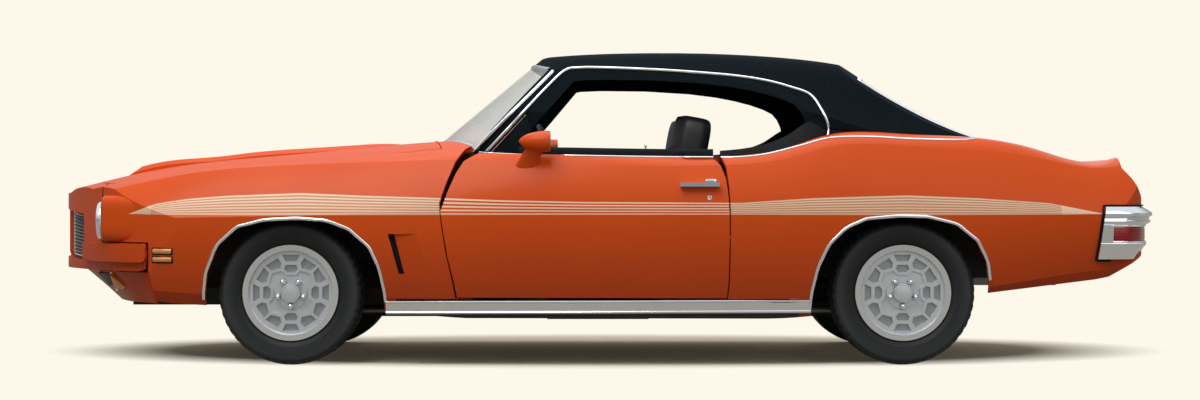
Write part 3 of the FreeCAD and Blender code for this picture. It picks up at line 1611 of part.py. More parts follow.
node(box("fuel_tank", (tank_back - s.tank_length, tank_back), (-s.tank_width / 2, s.tank_width / 2),
         (s.trunk_floor_height - s.tank_height, s.trunk_floor_height - s.seat_clearance)), "fuel_tank")


# Wheel houses: arched walls inside the fenders and quarters, each with its inner side.
front_house_foot_share = 0.3


def wheel_house(label, x, foot):
    """An arched wall with its inner side, above its foot."""
    side = s.wheel_house_inner_side
    outer_rod = rod(f"{label}_out", "y", s.wheel_house_radius, s.overall_width / 2 - side,
                    x, -s.overall_width / 2, s.tyre_radius)
    inner_rod = rod(f"{label}_in", "y", s.wheel_house_radius - s.wheel_house_wall,
                    s.overall_width / 2 - side, x, -s.overall_width / 2 - s.wheel_house_wall, s.tyre_radius)
    under = box(f"{label}_under", (x - s.wheel_house_radius * 2, x + s.wheel_house_radius * 2),
                (-s.overall_width, s.overall_width), (-s.wheel_house_radius, foot))
    return lined(label, cut(f"{label}_arch", cut(f"{label}_shell", outer_rod, inner_rod), under))


houses = []
front_foot = s.tyre_radius + s.wheel_house_radius * front_house_foot_share
for end, foot in (("front", front_foot), ("rear", s.trunk_floor_height)):
    left = wheel_house(f"wheel_house_{end}_left", axle_of[end], foot)
    houses += [left, mirrored(f"wheel_house_{end}_right", left)]
node(grouped("wheel_houses", houses), "wheel_houses")


# Cabin furniture: plain seats, dashboard, column and wheel.
def seat(label, y):
    half = s.seat_width / 2
    floor_top = s.floor_height + s.floor_thickness
    back_x = s.seat_place + s.seat_depth
    cushion = box(f"{label}_cushion", (s.seat_place, back_x), (y - half, y + half),
                  (floor_top + s.seat_clearance, s.seat_height))
    body = new_body(f"{label}_back", 0, y, 0)
    lean = s.seat_back_height * math.tan(math.radians(sheet.seat_recline))
    low = s.seat_height - s.seat_cushion_thickness + s.seat_clearance * 20
    sketch = sketch_on(body, f"{label}_side", "XZ_Plane", [
        (back_x - s.seat_back_thickness, low),
        (back_x, low),
        (back_x + lean, low + s.seat_back_height),
        (back_x + lean - s.seat_back_thickness * 0.7, low + s.seat_back_height),
    ])
    padded(body, f"{label}_pad", sketch, s.seat_width)
    return fused(label, [cushion, body])


node(grouped("front_seats", [seat("seat_left", -s.seat_half_spacing), seat("seat_right", s.seat_half_spacing)]),
     "front_seats")
bench = new_body("rear_seat")
bench_front, bench_foot = kick_front - s.bench_length, kick_front - thick * 2
bench_low = s.floor_height + thick + s.seat_clearance
bench_sketch = sketch_on(bench, "bench_side", "XZ_Plane", [
    (bench_front, bench_low),
    (bench_front, s.bench_height + thick * 2),
    (bench_foot - s.seat_back_thickness / 2, s.bench_height - thick * 2),
    (bench_foot + s.seat_back_thickness / 2, s.bench_height + s.bench_back_height),
    (bench_foot + s.seat_back_thickness * 1.2, s.bench_height + s.bench_back_height),
    (bench_foot, bench_low),
])
padded(bench, "bench_pad", bench_sketch, s.bench_half_width * 2)
saddle = sketch_on(bench, "bench_saddle", "YZ_Plane", [
    (-s.tunnel_half_width - thick, level),
    (-s.tunnel_half_width - thick, level + thick),
    (-s.tunnel_half_width / 2 - thick, level + s.tunnel_height + s.seat_clearance),
    (s.tunnel_half_width / 2 + thick, level + s.tunnel_height + s.seat_clearance),
    (s.tunnel_half_width + thick, level + thick),
    (s.tunnel_half_width + thick, level),
])
pocketed(bench, "bench_tunnel", saddle, s.overall_length, midplane=True)
node(bench, "rear_seat")
stack_depth_share = 0.8
dash = new_body("dash_body")
dash_x = -s.dash_front
dash_sketch = sketch_on(dash, "dash_side", "XZ_Plane", [
    (dash_x, s.dash_top - s.dash_height),
    (dash_x, s.dash_top - s.dash_height * 0.12),
    (dash_x + s.dash_depth * 0.4, s.dash_top),
    (dash_x + s.dash_depth * 0.9, s.dash_top - s.dash_height * 0.08),
    (dash_x + s.dash_depth, s.dash_top - s.dash_height * 0.3),
    (dash_x + s.dash_depth * 0.8, s.dash_top - s.dash_height * 0.95),
])
padded(dash, "dash_pad", dash_sketch, s.dash_half_width * 2)
console = box("console", (dash_x + s.dash_depth / 2, dash_x + s.dash_depth / 2 + s.console_length),
              (-s.console_width / 2, s.console_width / 2),
              (level + s.tunnel_height + s.seat_clearance, level + s.tunnel_height + s.console_height))
stack = box("console_stack", (dash_x + s.dash_depth / 2, dash_x + s.dash_depth * stack_depth_share),
            (-s.console_width / 2, s.console_width / 2),
            (level + s.tunnel_height + s.seat_clearance, s.dash_top - s.dash_height / 2))
node(fused("dashboard", [dash, console, stack]), "dashboard")
wheel_body = new_body("steering_wheel")
rim_line = wheel_body.newObject("Sketcher::SketchObject", "wheel_rim_section")
rim_line.AttachmentSupport = [([item for item in wheel_body.Origin.OriginFeatures if item.Role == "XZ_Plane"][0], "")]
rim_line.MapMode = "FlatFace"
rim_line.addGeometry(Part.Circle(Vector(float(s.steering_wheel_radius), 0, 0), Vector(0, 0, 1),
                                 float(s.steering_wheel_rim_radius)))
number = rim_line.addConstraint(Sketcher.Constraint("Radius", 0, float(s.steering_wheel_rim_radius)))
rim_line.setExpression(f"Constraints[{number}]", s.steering_wheel_rim_radius.formula)
number = rim_line.addConstraint(Sketcher.Constraint("DistanceX", -1, 1, 0, 3, float(s.steering_wheel_radius)))
rim_line.setExpression(f"Constraints[{number}]", s.steering_wheel_radius.formula)
rim_line.addConstraint(Sketcher.Constraint("PointOnObject", 0, 3, -1))
turned(wheel_body, "wheel_rim", rim_line, "Z_Axis")
spoke_half = s.steering_wheel_rim_radius
spokes = sketch_on(wheel_body, "wheel_spokes", "XY_Plane", [
    (-s.steering_wheel_radius, -spoke_half),
    (s.steering_wheel_radius, -spoke_half),
    (s.steering_wheel_radius, spoke_half),
    (-s.steering_wheel_radius, spoke_half),
])
padded(wheel_body, "wheel_spoke_pad", spokes, s.steering_wheel_rim_radius)
column = sketch_on(wheel_body, "column_side", "XZ_Plane", [
    (0, spoke_half),
    (s.steering_column_radius * 2, spoke_half),
    (s.steering_column_radius, -s.steering_column_radius * 2),
    (s.steering_column_radius, -s.steering_column_length),
    (0, -s.steering_column_length),
])
turned(wheel_body, "column_turned", column, "Z_Axis")
wheel_body.Placement = Placement(Vector(), Rotation(Vector(0, 1, 0), 90 - sheet.steering_column_tilt * 1.0))
bind(wheel_body, "Placement.Base.x", -s.steering_wheel_place)
bind(wheel_body, "Placement.Base.y", -s.seat_half_spacing)
bind(wheel_body, "Placement.Base.z", s.steering_wheel_height)
node(wheel_body, "steering_wheel")

# Rear bumper, rockers and what else is fixed to the outside.
bumper_low, bumper_high = float(s.bumper_underside), float(s.bumper_underside) + float(s.bumper_height)
bumper_line = whole_plan(plan(bumper_plan_shares, -1))
wrap = float(s.lamp_recess)
clear = float(s.seat_clearance)


bumper_face = whole_plan(plan(bumper_plan_shares[:bumper_face_points], -1))


def bumper_band(line, inset, low, high):
    """An outline in plan, set in from its outside, between two heights."""
    return top_prism(grown(line, 0, -inset, -inset, -inset), low, high)


lamp_low = bumper_low + (bumper_high - bumper_low) * tail_lamp_low_share
lamp_high = bumper_low + (bumper_high - bumper_low) * tail_lamp_high_share
lamp_side = half_width * tail_lamp_middle_share


def lamp_bands(front, back, space):
    """The band that a tail lamp fills, left and right, less a clearance."""
    ring = bumper_band(bumper_face, front, lamp_low + space, lamp_high - space).cut(
        bumper_band(bumper_face, back, bumper_low, bumper_high))
    return [ring.common(block((0, half_length + overrun), limits, (0, height)))
            for limits in ((-wide, -lamp_side - space), (lamp_side + space, wide))]


bumper = bumper_band(bumper_line, 0, bumper_low, bumper_high).cut(outer)
for band in lamp_bands(-overrun, wrap, 0):
    bumper = bumper.cut(band)
shaped("rear_bumper", solid_of(bumper))
tail_lamps = [solid_of(band.cut(outer)) for band in lamp_bands(wrap * lamp_inset_share, wrap - clear, clear)]
shaped("tail_lamps", Part.makeCompound(tail_lamps))

rocker_region = block((door_outline[0][0] - hinge_gap * 40, half_length * rocker_back_share),
                      (-wide, 0), (0, height * rocker_top_share))
rocker = shell.common(rocker_region)
for tool in (fender_region, quarter_region, front_arch, rear_arch, aperture):
    rocker = rocker.cut(tool)
rocker_left = doc.addObject("Part::Feature", "rocker_left")
rocker_left.Shape = solid_of(rocker)
node(grouped("rockers", [rocker_left, mirrored("rocker_right", rocker_left)]), "rockers")

# Headlamps.
lamps = []
for name, sign in (("left", -1), ("right", 1)):
    lamps.append(rod(f"headlamp_{name}", "x", s.headlamp_radius, s.headlamp_depth,
                     -s.overall_length / 2 * headlamp_front_share, s.headlamp_half_spacing * sign,
                     s.headlamp_height))
node(grouped("headlamps", lamps), "headlamps")


# Mirrors and handles.
def oval(centre, first, second):
    """A closed smooth line round a centre, between two half axes."""
    points = []
    for step in range(12):
        angle = math.radians(step * 30)
        points.append(centre + first * math.cos(angle) + second * math.sin(angle))
    line = Part.BSplineCurve()
    line.interpolate(points, PeriodicFlag=True)
    return Part.Wire(line.toShape())


mirror_growth_shares = ((0, 0.06), (0.08, 0.36), (0.28, 0.70), (0.55, 0.92), (0.85, 1.0), (1.0, 0.97))
mirror_half_height, mirror_half_width = float(s.mirror_height) / 2, float(s.mirror_width) / 2
mirror_length = float(s.mirror_length)
mirror_front = mirror_front_share * half_length
belt_side = mirror_foot_side_share * half_width
mirror_middle = mirror_height_share * height
mirror_y = -half_width + float(s.door_thickness) * mirror_side_share
head = Part.makeLoft([
    oval(Vector(mirror_front + along * mirror_length, mirror_y, mirror_middle),
         Vector(0, mirror_half_width * growth, 0), Vector(0, 0, mirror_half_height * growth))
    for along, growth in mirror_growth_shares
], True, False)
foot_length, foot_width = float(s.mirror_foot_length) / 2, float(s.mirror_foot_width) / 2
stalk = Part.makeLoft([
    oval(Vector(mirror_front + mirror_foot_share * mirror_length, -belt_side, float(s.belt_height) - overrun),
         Vector(foot_length, 0, 0), Vector(0, foot_width, 0)),
    oval(Vector(mirror_front + mirror_neck_share * mirror_length, mirror_y + foot_width / 2, mirror_middle - foot_width / 2),
         Vector(foot_length * 0.6, 0, 0), Vector(0, foot_width * 0.8, 0)),
], True, False)
mirror_left = shaped("mirror_left", solid_of(head.fuse(stalk).cut(door)))
node(mirrored("mirror_right", mirror_left), "mirror_right")

handle_x = s.overall_length / 2 * handle_front_share
handle_z = s.overall_height * handle_height_share
plate = box("handle_plate", (handle_x, handle_x + s.handle_length),
            (-s.overall_width / 2 - s.handle_reach / 2, -s.overall_width / 2 + s.handle_reach * 2),
            (handle_z, handle_z + s.handle_height))
handle_left = node(cut("door_handle_left", plate, door_left), "door_handle_left")
node(mirrored("door_handle_right", handle_left), "door_handle_right")

# Firewall: it stands on the toe board and leans back to the cowl.
firewall = new_body("firewall_body")
foot = level + s.tunnel_height + thick + s.seat_clearance
firewall_line = [
    (-toe, foot),
    (-toe + thick, foot),
    (-toe + thick, s.firewall_knee),
    (-s.firewall_head + thick, s.windshield_base_height),
    (-s.firewall_head + thick, s.overall_height),
    (-s.firewall_head, s.overall_height),
    (-s.firewall_head, s.windshield_base_height + thick),
    (-toe, s.firewall_knee + thick),
]
padded(firewall, "firewall_pad", sketch_on(firewall, "firewall_side", "XZ_Plane", firewall_line),
       s.firewall_half_width * 2)
node(lined("firewall", firewall), "firewall")

# Checks, then one file for each sub-part.
doc.recompute()
for item in doc.Objects:
    if "Invalid" in item.State or "Error" in item.State:
        raise RuntimeError(f"{item.Label} failed: {item.State}")
for label, piece in nodes.items():
    shape = piece.Shape
    if shape.isNull() or not shape.isValid() or not shape.Solids:
        raise RuntimeError(f"{label} has no valid shape")
os.makedirs("parts", exist_ok=True)
for label, piece in nodes.items():
    piece.Shape.exportStep(os.path.join("parts", f"{label}.step"))
print(len(nodes), "sub-parts")
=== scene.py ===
import math
import bpy
import numpy as np
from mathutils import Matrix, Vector
from mathutils.bvhtree import BVHTree


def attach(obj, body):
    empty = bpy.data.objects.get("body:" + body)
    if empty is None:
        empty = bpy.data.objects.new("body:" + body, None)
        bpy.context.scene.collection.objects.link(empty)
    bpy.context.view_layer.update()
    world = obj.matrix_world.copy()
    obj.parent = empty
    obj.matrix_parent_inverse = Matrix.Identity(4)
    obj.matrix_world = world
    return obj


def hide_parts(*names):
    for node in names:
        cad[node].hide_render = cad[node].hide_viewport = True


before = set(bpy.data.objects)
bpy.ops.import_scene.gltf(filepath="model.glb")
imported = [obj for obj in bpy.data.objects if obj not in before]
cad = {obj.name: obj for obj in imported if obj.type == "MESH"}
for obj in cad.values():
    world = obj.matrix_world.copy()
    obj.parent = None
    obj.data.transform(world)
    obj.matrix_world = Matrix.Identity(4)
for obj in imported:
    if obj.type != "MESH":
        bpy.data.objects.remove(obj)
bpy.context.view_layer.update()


# Camera and studio: a long level lens at the height of the door handles, a pale floor and backdrop, and
# soft lamps over the near side.
def put_in(name, data):
    """An object for some data, in the scene."""
    made = bpy.data.objects.new(name, data)
    bpy.context.scene.collection.objects.link(made)
    return made


camera_data = bpy.data.cameras.new("camera")
camera_data.lens = 73.53
camera_data.sensor_width = 36
camera_data.shift_y = -0.00917
camera_data.clip_end = 200
camera = put_in("camera", camera_data)
camera.location = (0.010, -11.9, 0.795)
camera.rotation_euler = (math.radians(90), 0, 0)
bpy.context.scene.camera = camera
bpy.context.scene.view_settings.view_transform = "Standard"

for name, place, aim, size, power, tint in (
        ("key", (-2.5, -5.4, 7.2), (0, 0, 0.5), 5.0, 400, (1.0, 0.97, 0.93)),
        ("fill", (4.5, -7.5, 4.0), (0.5, 0, 0.5), 5.0, 60, (0.95, 0.97, 1.0)),
        ("top", (0.0, 0.5, 6.5), (0, 0, 0.6), 6.0, 220, (1, 1, 1)),
        ("back", (2.0, 8.0, 4.0), (0, 0, 0.8), 5.0, 60, (1, 0.98, 0.95))):
    lamp_data = bpy.data.lights.new(name, "AREA")
    lamp_data.size = size
    lamp_data.energy = power
    lamp_data.color = tint
    lamp = put_in(name, lamp_data)
    lamp.location = place
    lamp.rotation_euler = (Vector(aim) - Vector(place)).to_track_quat("-Z", "Y").to_euler()


class Wire:
    """A socket that can be reckoned with: each operation adds one Math node."""

    def __init__(self, tree, socket):
        self.tree = tree
        self.socket = socket

    def __add__(self, other):
        return maths("ADD", self, other)

    def __radd__(self, other):
        return maths("ADD", other, self)

    def __sub__(self, other):
        return maths("SUBTRACT", self, other)

    def __rsub__(self, other):
        return maths("SUBTRACT", other, self)

    def __mul__(self, other):
        return maths("MULTIPLY", self, other)

    def __rmul__(self, other):
        return maths("MULTIPLY", other, self)

    def __truediv__(self, other):
        return maths("DIVIDE", self, other)

    def __gt__(self, other):
        return maths("GREATER_THAN", self, other)

    def __lt__(self, other):
        return maths("LESS_THAN", self, other)

    def __abs__(self):
        return maths("ABSOLUTE", self)

    def between(self, low, high):
        """1 inside the two limits, 0 outside."""
        return (self > low) * (self < high)

    def ramp(self, low, high):
        """0 at low and before it, 1 at high and beyond, a straight line between."""
        return maths("MINIMUM", maths("MAXIMUM", (self - low) / (high - low), 0.0), 1.0)

    def zigzag(self):
        """0.5 at every whole number, 0 halfway between."""
        return abs(maths("FRACT", self) - 0.5)


def maths(operation, *values):
    """One Math node on numbers and wires."""
    tree = next(value.tree for value in values if isinstance(value, Wire))
    made = grow(tree, "ShaderNodeMath", {"operation": operation}, dict(enumerate(values)))
    return Wire(tree, made.outputs[0])


def plug(tree, socket, value):
    """Links a wire or another node's socket, or sets a plain value. A colour is red, green and blue."""
    source = value.socket if isinstance(value, Wire) else value
    if isinstance(source, bpy.types.NodeSocket):
        tree.links.new(source, socket)
    else:
        socket.default_value = (*value, 1) if socket.type == "RGBA" else value


def grow(tree, kind, settings, values):
    """One node: its settings first, then the values or links of its sockets."""
    made = tree.nodes.new(kind)
    for key, value in settings.items():
        if key == "stops":
            for _ in value[2:]:
                made.color_ramp.elements.new(0.5)
            for element, (place, colour) in zip(made.color_ramp.elements, value):
                element.position = place
                element.color = (*colour, 1)
        else:
            setattr(made, key, value)
    for key, value in values.items():
        plug(tree, made.inputs[key], value)
    return made


def apart(tree, kind="Object"):
    """X, Y and Z of one of the coordinates that a tree can read."""
    coords = grow(tree, "ShaderNodeTexCoord", {}, {}).outputs[kind]
    split = grow(tree, "ShaderNodeSeparateXYZ", {}, {0: coords})
    return [Wire(tree, output) for output in split.outputs]


def rays(tree):
    """Two masks: the rays that see a surface, straight or through glass, and those that mirror it."""
    path = grow(tree, "ShaderNodeLightPath", {}, {}).outputs
    straight, through_glass = Wire(tree, path["Is Camera Ray"]), Wire(tree, path["Is Transmission Ray"])
    return maths("MAXIMUM", straight, through_glass), Wire(tree, path["Is Glossy Ray"])


paper = (0.982, 0.939, 0.823)
world = bpy.data.worlds.new("studio")
world.use_nodes = True
bpy.context.scene.world = world
sky = world.node_tree
sky.nodes.clear()
seen, mirrored = rays(sky)
sky_tint = grow(sky, "ShaderNodeMix", {"data_type": "RGBA"}, {0: mirrored, 6: paper, 7: (0.88, 0.94, 1.0)})
overhead = apart(sky, "Generated")[2].ramp(0.08, 0.60) * 0.70 - 0.14
backdrop = grow(sky, "ShaderNodeBackground", {}, {
    "Color": sky_tint.outputs[2], "Strength": seen * 0.55 + mirrored * overhead + 0.45})
grow(sky, "ShaderNodeOutputWorld", {}, {"Surface": backdrop.outputs[0]})


class Finish:
    """A procedural material grown on one Principled surface."""

    def __init__(self, name, **looks):
        self.material = bpy.data.materials.new(name)
        self.material.use_nodes = True
        self.tree = self.material.node_tree
        self.tree.nodes.clear()
        self.surface = grow(self.tree, "ShaderNodeBsdfPrincipled", {}, {})
        self.output = grow(self.tree, "ShaderNodeOutputMaterial", {}, {"Surface": self.surface.outputs[0]})
        self.coords = grow(self.tree, "ShaderNodeTexCoord", {}, {}).outputs["Object"]
        self.wear(**looks)

    def wear(self, **looks):
        """Sets the surface's sockets, whose names are written with low lines."""
        for key, value in looks.items():
            plug(self.tree, self.surface.inputs[key.replace("_", " ").title().replace("Ior", "IOR")], value)

    def noise(self, scale, detail):
        """Soft clouds between 0 and 1."""
        cloud = grow(self.tree, "ShaderNodeTexNoise", {}, {
            "Vector": self.coords, "Scale": scale, "Detail": detail})
        return Wire(self.tree, cloud.outputs[0])

    def grain(self, scale):
        """The distance to the middle of the nearest of many cells."""
        cells = grow(self.tree, "ShaderNodeTexVoronoi", {}, {"Vector": self.coords, "Scale": scale})
        return Wire(self.tree, cells.outputs["Distance"])

    def mixed(self, mask, first, second):
        """The first colour where the mask is 0, the second where it is 1."""
        return grow(self.tree, "ShaderNodeMix", {"data_type": "RGBA"}, {
            0: mask, 6: first, 7: second}).outputs[2]

    def clouded(self, scale, detail, first, second):
        """Two colours that change softly into each other."""
        return self.mixed(self.noise(scale, detail), first, second)

    def raised(self, height, depth, strength):
        """Gives the surface a relief: a height from 0 to 1 times a depth in metres."""
        bump = grow(self.tree, "ShaderNodeBump", {}, {
            "Height": height, "Distance": depth, "Strength": strength})
        self.wear(normal=bump.outputs[0])


# The floor takes the shadow in an oval round the car, and is bare paper further off.
floor_mesh = bpy.data.meshes.new("floor")
floor_mesh.from_pydata([(-60, -60, 0), (60, -60, 0), (60, 60, 0), (-60, 60, 0)], [], [(0, 1, 2, 3)])
floor = put_in("floor", floor_mesh)
floor_look = Finish("floor_paper", roughness=0.9, specular_ior_level=0.0)
floor_seen, floor_mirrored = rays(floor_look.tree)
fx, fy = apart(floor_look.tree)[:2]
fx, fy = (fx - 0.03) / 2.75, (fy - 0.26) / 1.34
aside = (fx * fx + fy * fy).ramp(0.60, 1.02)
floor_look.wear(base_color=floor_look.mixed(floor_seen, (0.20, 0.18, 0.15), (0.74, 0.70, 0.60)),
                emission_color=floor_look.mixed(floor_seen, (0, 0, 0), (0.98, 0.76, 0.54)),
                emission_strength=0.03)
floor_bare = grow(floor_look.tree, "ShaderNodeEmission", {}, {
    "Color": paper, "Strength": maths("MAXIMUM", floor_seen, floor_mirrored * 0.40)})
floor_mix = grow(floor_look.tree, "ShaderNodeMixShader", {}, {
    0: aside * maths("MAXIMUM", floor_seen, floor_mirrored), 1: floor_look.surface.outputs[0],
    2: floor_bare.outputs[0]})
plug(floor_look.tree, floor_look.output.inputs["Surface"], floor_mix.outputs[0])
floor_mesh.materials.append(floor_look.material)


# Underbody: frame, floor, wheel houses and suspension arms of stamped and welded steel, sprayed with
# black paint that road dust has dulled in patches.
def dress(finish, *names):
    """Gives CAD nodes one finish."""
    for name in names:
        slots = cad[name].data.materials
        slots.clear()
        slots.append(finish.material)


under = Finish("underbody_black", roughness=0.7)
under_dirt = under.noise(14.0, 6.0)
under.wear(base_color=under.mixed(under_dirt, (0.010, 0.010, 0.011), (0.035, 0.030, 0.026)))
under.raised(under_dirt, 0.001, 0.4)
dress(under, "wheel_houses", "floor_pan", "frame", "firewall", "front_suspension", "rockers")

# Running gear: engine, axle and knuckles in rough cast iron, and the welded exhaust, fuel tank and
# radiator in dull sheet steel.
iron = Finish("cast_iron", metallic=0.6, roughness=0.6)
iron.wear(base_color=iron.clouded(30.0, 6.0, (0.05, 0.05, 0.052), (0.12, 0.11, 0.10)))
iron.raised(iron.noise(160.0, 3.0), 0.0006, 0.6)
dress(iron, "engine", "rear_axle", "knuckle_left", "knuckle_right")
dull_steel = Finish("dull_steel", metallic=0.9, roughness=0.42)
dull_steel.wear(base_color=dull_steel.clouded(20.0, 5.0, (0.22, 0.21, 0.20), (0.40, 0.38, 0.35)))
dress(dull_steel, "exhaust", "fuel_tank", "radiator")

# Painted body: welded steel panels in orange enamel under clear gloss, with a taped stripe along the
# side that closes to a point at both ends: five lines on the door, seven on a paler band beside it.
paint = Finish("orange_enamel", roughness=0.50, coat_weight=0.28, coat_roughness=0.24, coat_ior=1.45,
               specular_ior_level=0.10)
px, py, pz = apart(paint.tree)
door_front, door_rear = -0.704, 0.588
stripe_foot = 0.683
# The stripe's height over its foot, at places along the car. Its ramp holds ten times that height.
stripe_rise = ((-2.11, 0.000), (-1.98, 0.044), (-1.84, 0.064), (-1.67, 0.077), (-1.51, 0.083), (-1.33, 0.089),
               (-1.05, 0.078), (-0.77, 0.070), (-0.43, 0.058), (-0.07, 0.051), (0.64, 0.047), (0.96, 0.067),
               (1.38, 0.079), (1.70, 0.067), (2.02, 0.046), (2.27, 0.000))
stripe_start = stripe_rise[0][0]
stripe_length = stripe_rise[-1][0] - stripe_start
along = (px - stripe_start) / stripe_length
rise_ramp = grow(paint.tree, "ShaderNodeValToRGB", {"stops": [
    ((x - stripe_start) / stripe_length, (up * 10,) * 3) for x, up in stripe_rise]}, {0: along})
rise = Wire(paint.tree, rise_ramp.outputs[0]) * 0.1
share = (pz - stripe_foot) / maths("MAXIMUM", rise, 0.002)
beside_door = maths("MAXIMUM", px < door_front, px > door_rear)
lines = (share * (beside_door * 2.0 + 4.0) + 0.5).zigzag()
on_side = (abs(py) > 0.80) * (apart(paint.tree, "Normal")[1] * py > 0.05)
in_stripe = share.between(-0.07, 1.07) * along.between(0.0, 1.0) * on_side
line_mask = in_stripe * maths("MAXIMUM", lines < 0.24, rise < 0.036)
enamel = paint.clouded(2.2, 4.0, (0.60, 0.064, 0.004), (0.66, 0.080, 0.005))
fleck = (paint.noise(900.0, 2.0) > 0.62) * 0.18
enamel = paint.mixed(fleck, enamel, (0.85, 0.22, 0.06))
# Painted shade: the enamel is darkened from the crease down to the sills, standing in for the shade on the
# lower side.
low_painted_shade = pz.ramp(0.66, 0.24) * 0.55
enamel = paint.mixed(low_painted_shade, enamel, (0.20, 0.022, 0.010))
enamel = paint.mixed(in_stripe * beside_door, enamel, (0.56, 0.25, 0.14))
tape = paint.mixed(share.ramp(1.0, 0.0), (0.82, 0.64, 0.48), (0.78, 0.50, 0.35))
paint.wear(base_color=paint.mixed(line_mask, enamel, tape))
paint.raised(paint.noise(40.0, 2.0), 0.0002, 0.25)
dress(paint, "front_bumper", "front_valance", "fender_left", "fender_right", "hood", "cowl", "door_left",
      "door_right", "quarter_left", "quarter_right", "rear_panel", "trunk_lid", "mirror_left", "mirror_right")

# Vinyl top: black grained vinyl on a cloth back, cut in panels and glued over the steel roof and its
# rear pillars.
vinyl = Finish("black_vinyl", roughness=0.68, specular_ior_level=0.01)
vinyl.wear(base_color=vinyl.clouded(60.0, 5.0, (0.003, 0.006, 0.009), (0.009, 0.014, 0.018)))
vinyl.raised(vinyl.grain(420.0), 0.0006, 0.6)
dress(vinyl, "roof")

# Chrome: the door handles here, and below the bumper and every bright moulding. Pressed or cast,
# polished, plated, and a little hazy with age.
chrome = Finish("chrome", metallic=1.0)
haze = chrome.noise(12.0, 4.0)
chrome.wear(base_color=chrome.mixed(haze, (0.72, 0.73, 0.75), (0.86, 0.87, 0.88)),
            roughness=haze * 0.06 + 0.05)
dress(chrome, "door_handle_left", "door_handle_right")

# Glass: windshield and rear window of clear curved safety glass, a little green in its thickness and
# denser towards its foot, bedded in rubber.
glass = Finish("clear_glass", roughness=0.02, coat_weight=1.0, specular_ior_level=0.5)
glass.wear(base_color=glass.clouded(3.0, 2.0, (0.50, 0.58, 0.60), (0.72, 0.78, 0.77)),
           alpha=apart(glass.tree)[2].ramp(1.30, 1.0) * 0.16 + 0.26)
dress(glass, "windshield", "rear_window")

# Wheels: rims cast with sunk cells round the hub and painted silver grey, with a lip turned bright on a
# lathe. The sunk cells carry painted shade: a darker silver where shade falls in the recesses.
front_axle, rear_axle, axle_height = -1.385, 1.376, 0.327
wheel_places = {"front_left": (front_axle, -1), "front_right": (front_axle, 1),
                "rear_left": (rear_axle, -1), "rear_right": (rear_axle, 1)}


def from_axle(x, z):
    """The distance from the nearer axle, seen from the side: the root of both offsets' squares."""
    ahead = abs(x - (front_axle + rear_axle) / 2) - (rear_axle - front_axle) / 2
    up = z - axle_height
    return maths("SQRT", ahead * ahead + up * up)


silver = Finish("wheel_silver", metallic=0.75, coat_weight=0.3)
lip_radius, cell_radius, face_y = 0.1905, 0.187, 0.8185
sx, sy, sz = apart(silver.tree)
spoke = from_axle(sx, sz)
polished = spoke > lip_radius
# Painted shade: the sunk cells are given a darker silver.
shaded_cells = abs(sy).between(0.70, face_y) * (spoke < cell_radius)
silver_tone = silver.clouded(35.0, 5.0, (0.60, 0.63, 0.66), (0.74, 0.77, 0.80))
silver_tone = silver.mixed(shaded_cells, silver_tone, (0.40, 0.42, 0.44))
silver.wear(base_color=silver.mixed(polished, silver_tone, (0.74, 0.76, 0.78)),
            roughness=0.36 - polished * 0.2)
silver.raised(silver.noise(300.0, 2.0), 0.0002, 0.3)
dress(silver, *("rim_" + corner for corner in wheel_places))

# Cabin plastics: dashboard, steering wheel and shelf of moulded black plastic with a leather grain.
# The grilles' dark inserts are of the same.
plastic = Finish("black_plastic", roughness=0.55)
plastic.wear(base_color=plastic.clouded(50.0, 4.0, (0.012, 0.012, 0.014), (0.024, 0.024, 0.026)))
plastic.raised(plastic.grain(600.0), 0.0004, 0.5)
dress(plastic, "dashboard", "steering_wheel", "package_shelf", "grilles")


# Wheel-opening mouldings: bright rolled steel strips, clipped round the edge of each opening and
# screwed to the fender and the quarter.
def skin(*names):
    """The surfaces of some CAD nodes, for rays to land on."""
    corners, faces, start = [], [], 0
    for name in names:
        mesh = cad[name].data
        mesh.calc_loop_triangles()
        places = np.empty(len(mesh.vertices) * 3)
        mesh.vertices.foreach_get("co", places)
        turns = np.empty(len(mesh.loop_triangles) * 3, dtype=np.int32)
        mesh.loop_triangles.foreach_get("vertices", turns)
        corners.append(places.reshape(-1, 3))
        faces.append(turns.reshape(-1, 3) + start)
        start += len(mesh.vertices)
    return BVHTree.FromPolygons(np.vstack(corners).tolist(), np.vstack(faces).tolist())


def through(points, count):
    """A smooth line through points: between each two, the cubic that also heeds the one before and after."""
    given = np.array(points, dtype=float)
    held = np.vstack([2 * given[0] - given[1], given, 2 * given[-1] - given[-2]])
    reach = np.append(0, np.cumsum(np.linalg.norm(np.diff(given, axis=0), axis=1)))
    t = np.linspace(0, reach[-1], count)
    k = np.clip(np.searchsorted(reach, t, "right") - 1, 0, len(given) - 2)
    f = ((t - reach[k]) / (reach[k + 1] - reach[k]))[:, None]
    a, b, c, d = held[k], held[k + 1], held[k + 2], held[k + 3]
    bent = (2 * a - 5 * b + 4 * c - d) * f ** 2 + (3 * b - a - 3 * c + d) * f ** 3
    return 0.5 * (2 * b + (c - a) * f + bent)


def landed(tree, points, towards, reach):
    """Each point moved along a direction onto the first surface there, where that lies within reach."""
    way = Vector(towards).normalized()
    found = []
    for point in points:
        place = tree.ray_cast(Vector(point) - way, way)[0]
        near = place is not None and (place - Vector(point)).length < reach
        found.append(tuple(place) if near else tuple(point))
    return np.array(found)


def carried(path, out, profile):
    """A profile carried along a path: across the path goes its first number, outwards its second."""
    along = np.gradient(path, axis=0)
    along /= np.linalg.norm(along, axis=1)[:, None]
    out = out - (out * along).sum(1)[:, None] * along
    out /= np.linalg.norm(out, axis=1)[:, None]
    across = np.cross(along, out)
    shape = np.array(profile, dtype=float)[None]
    return path[:, None] + across[:, None] * shape[..., :1] + out[:, None] * shape[..., 1:]


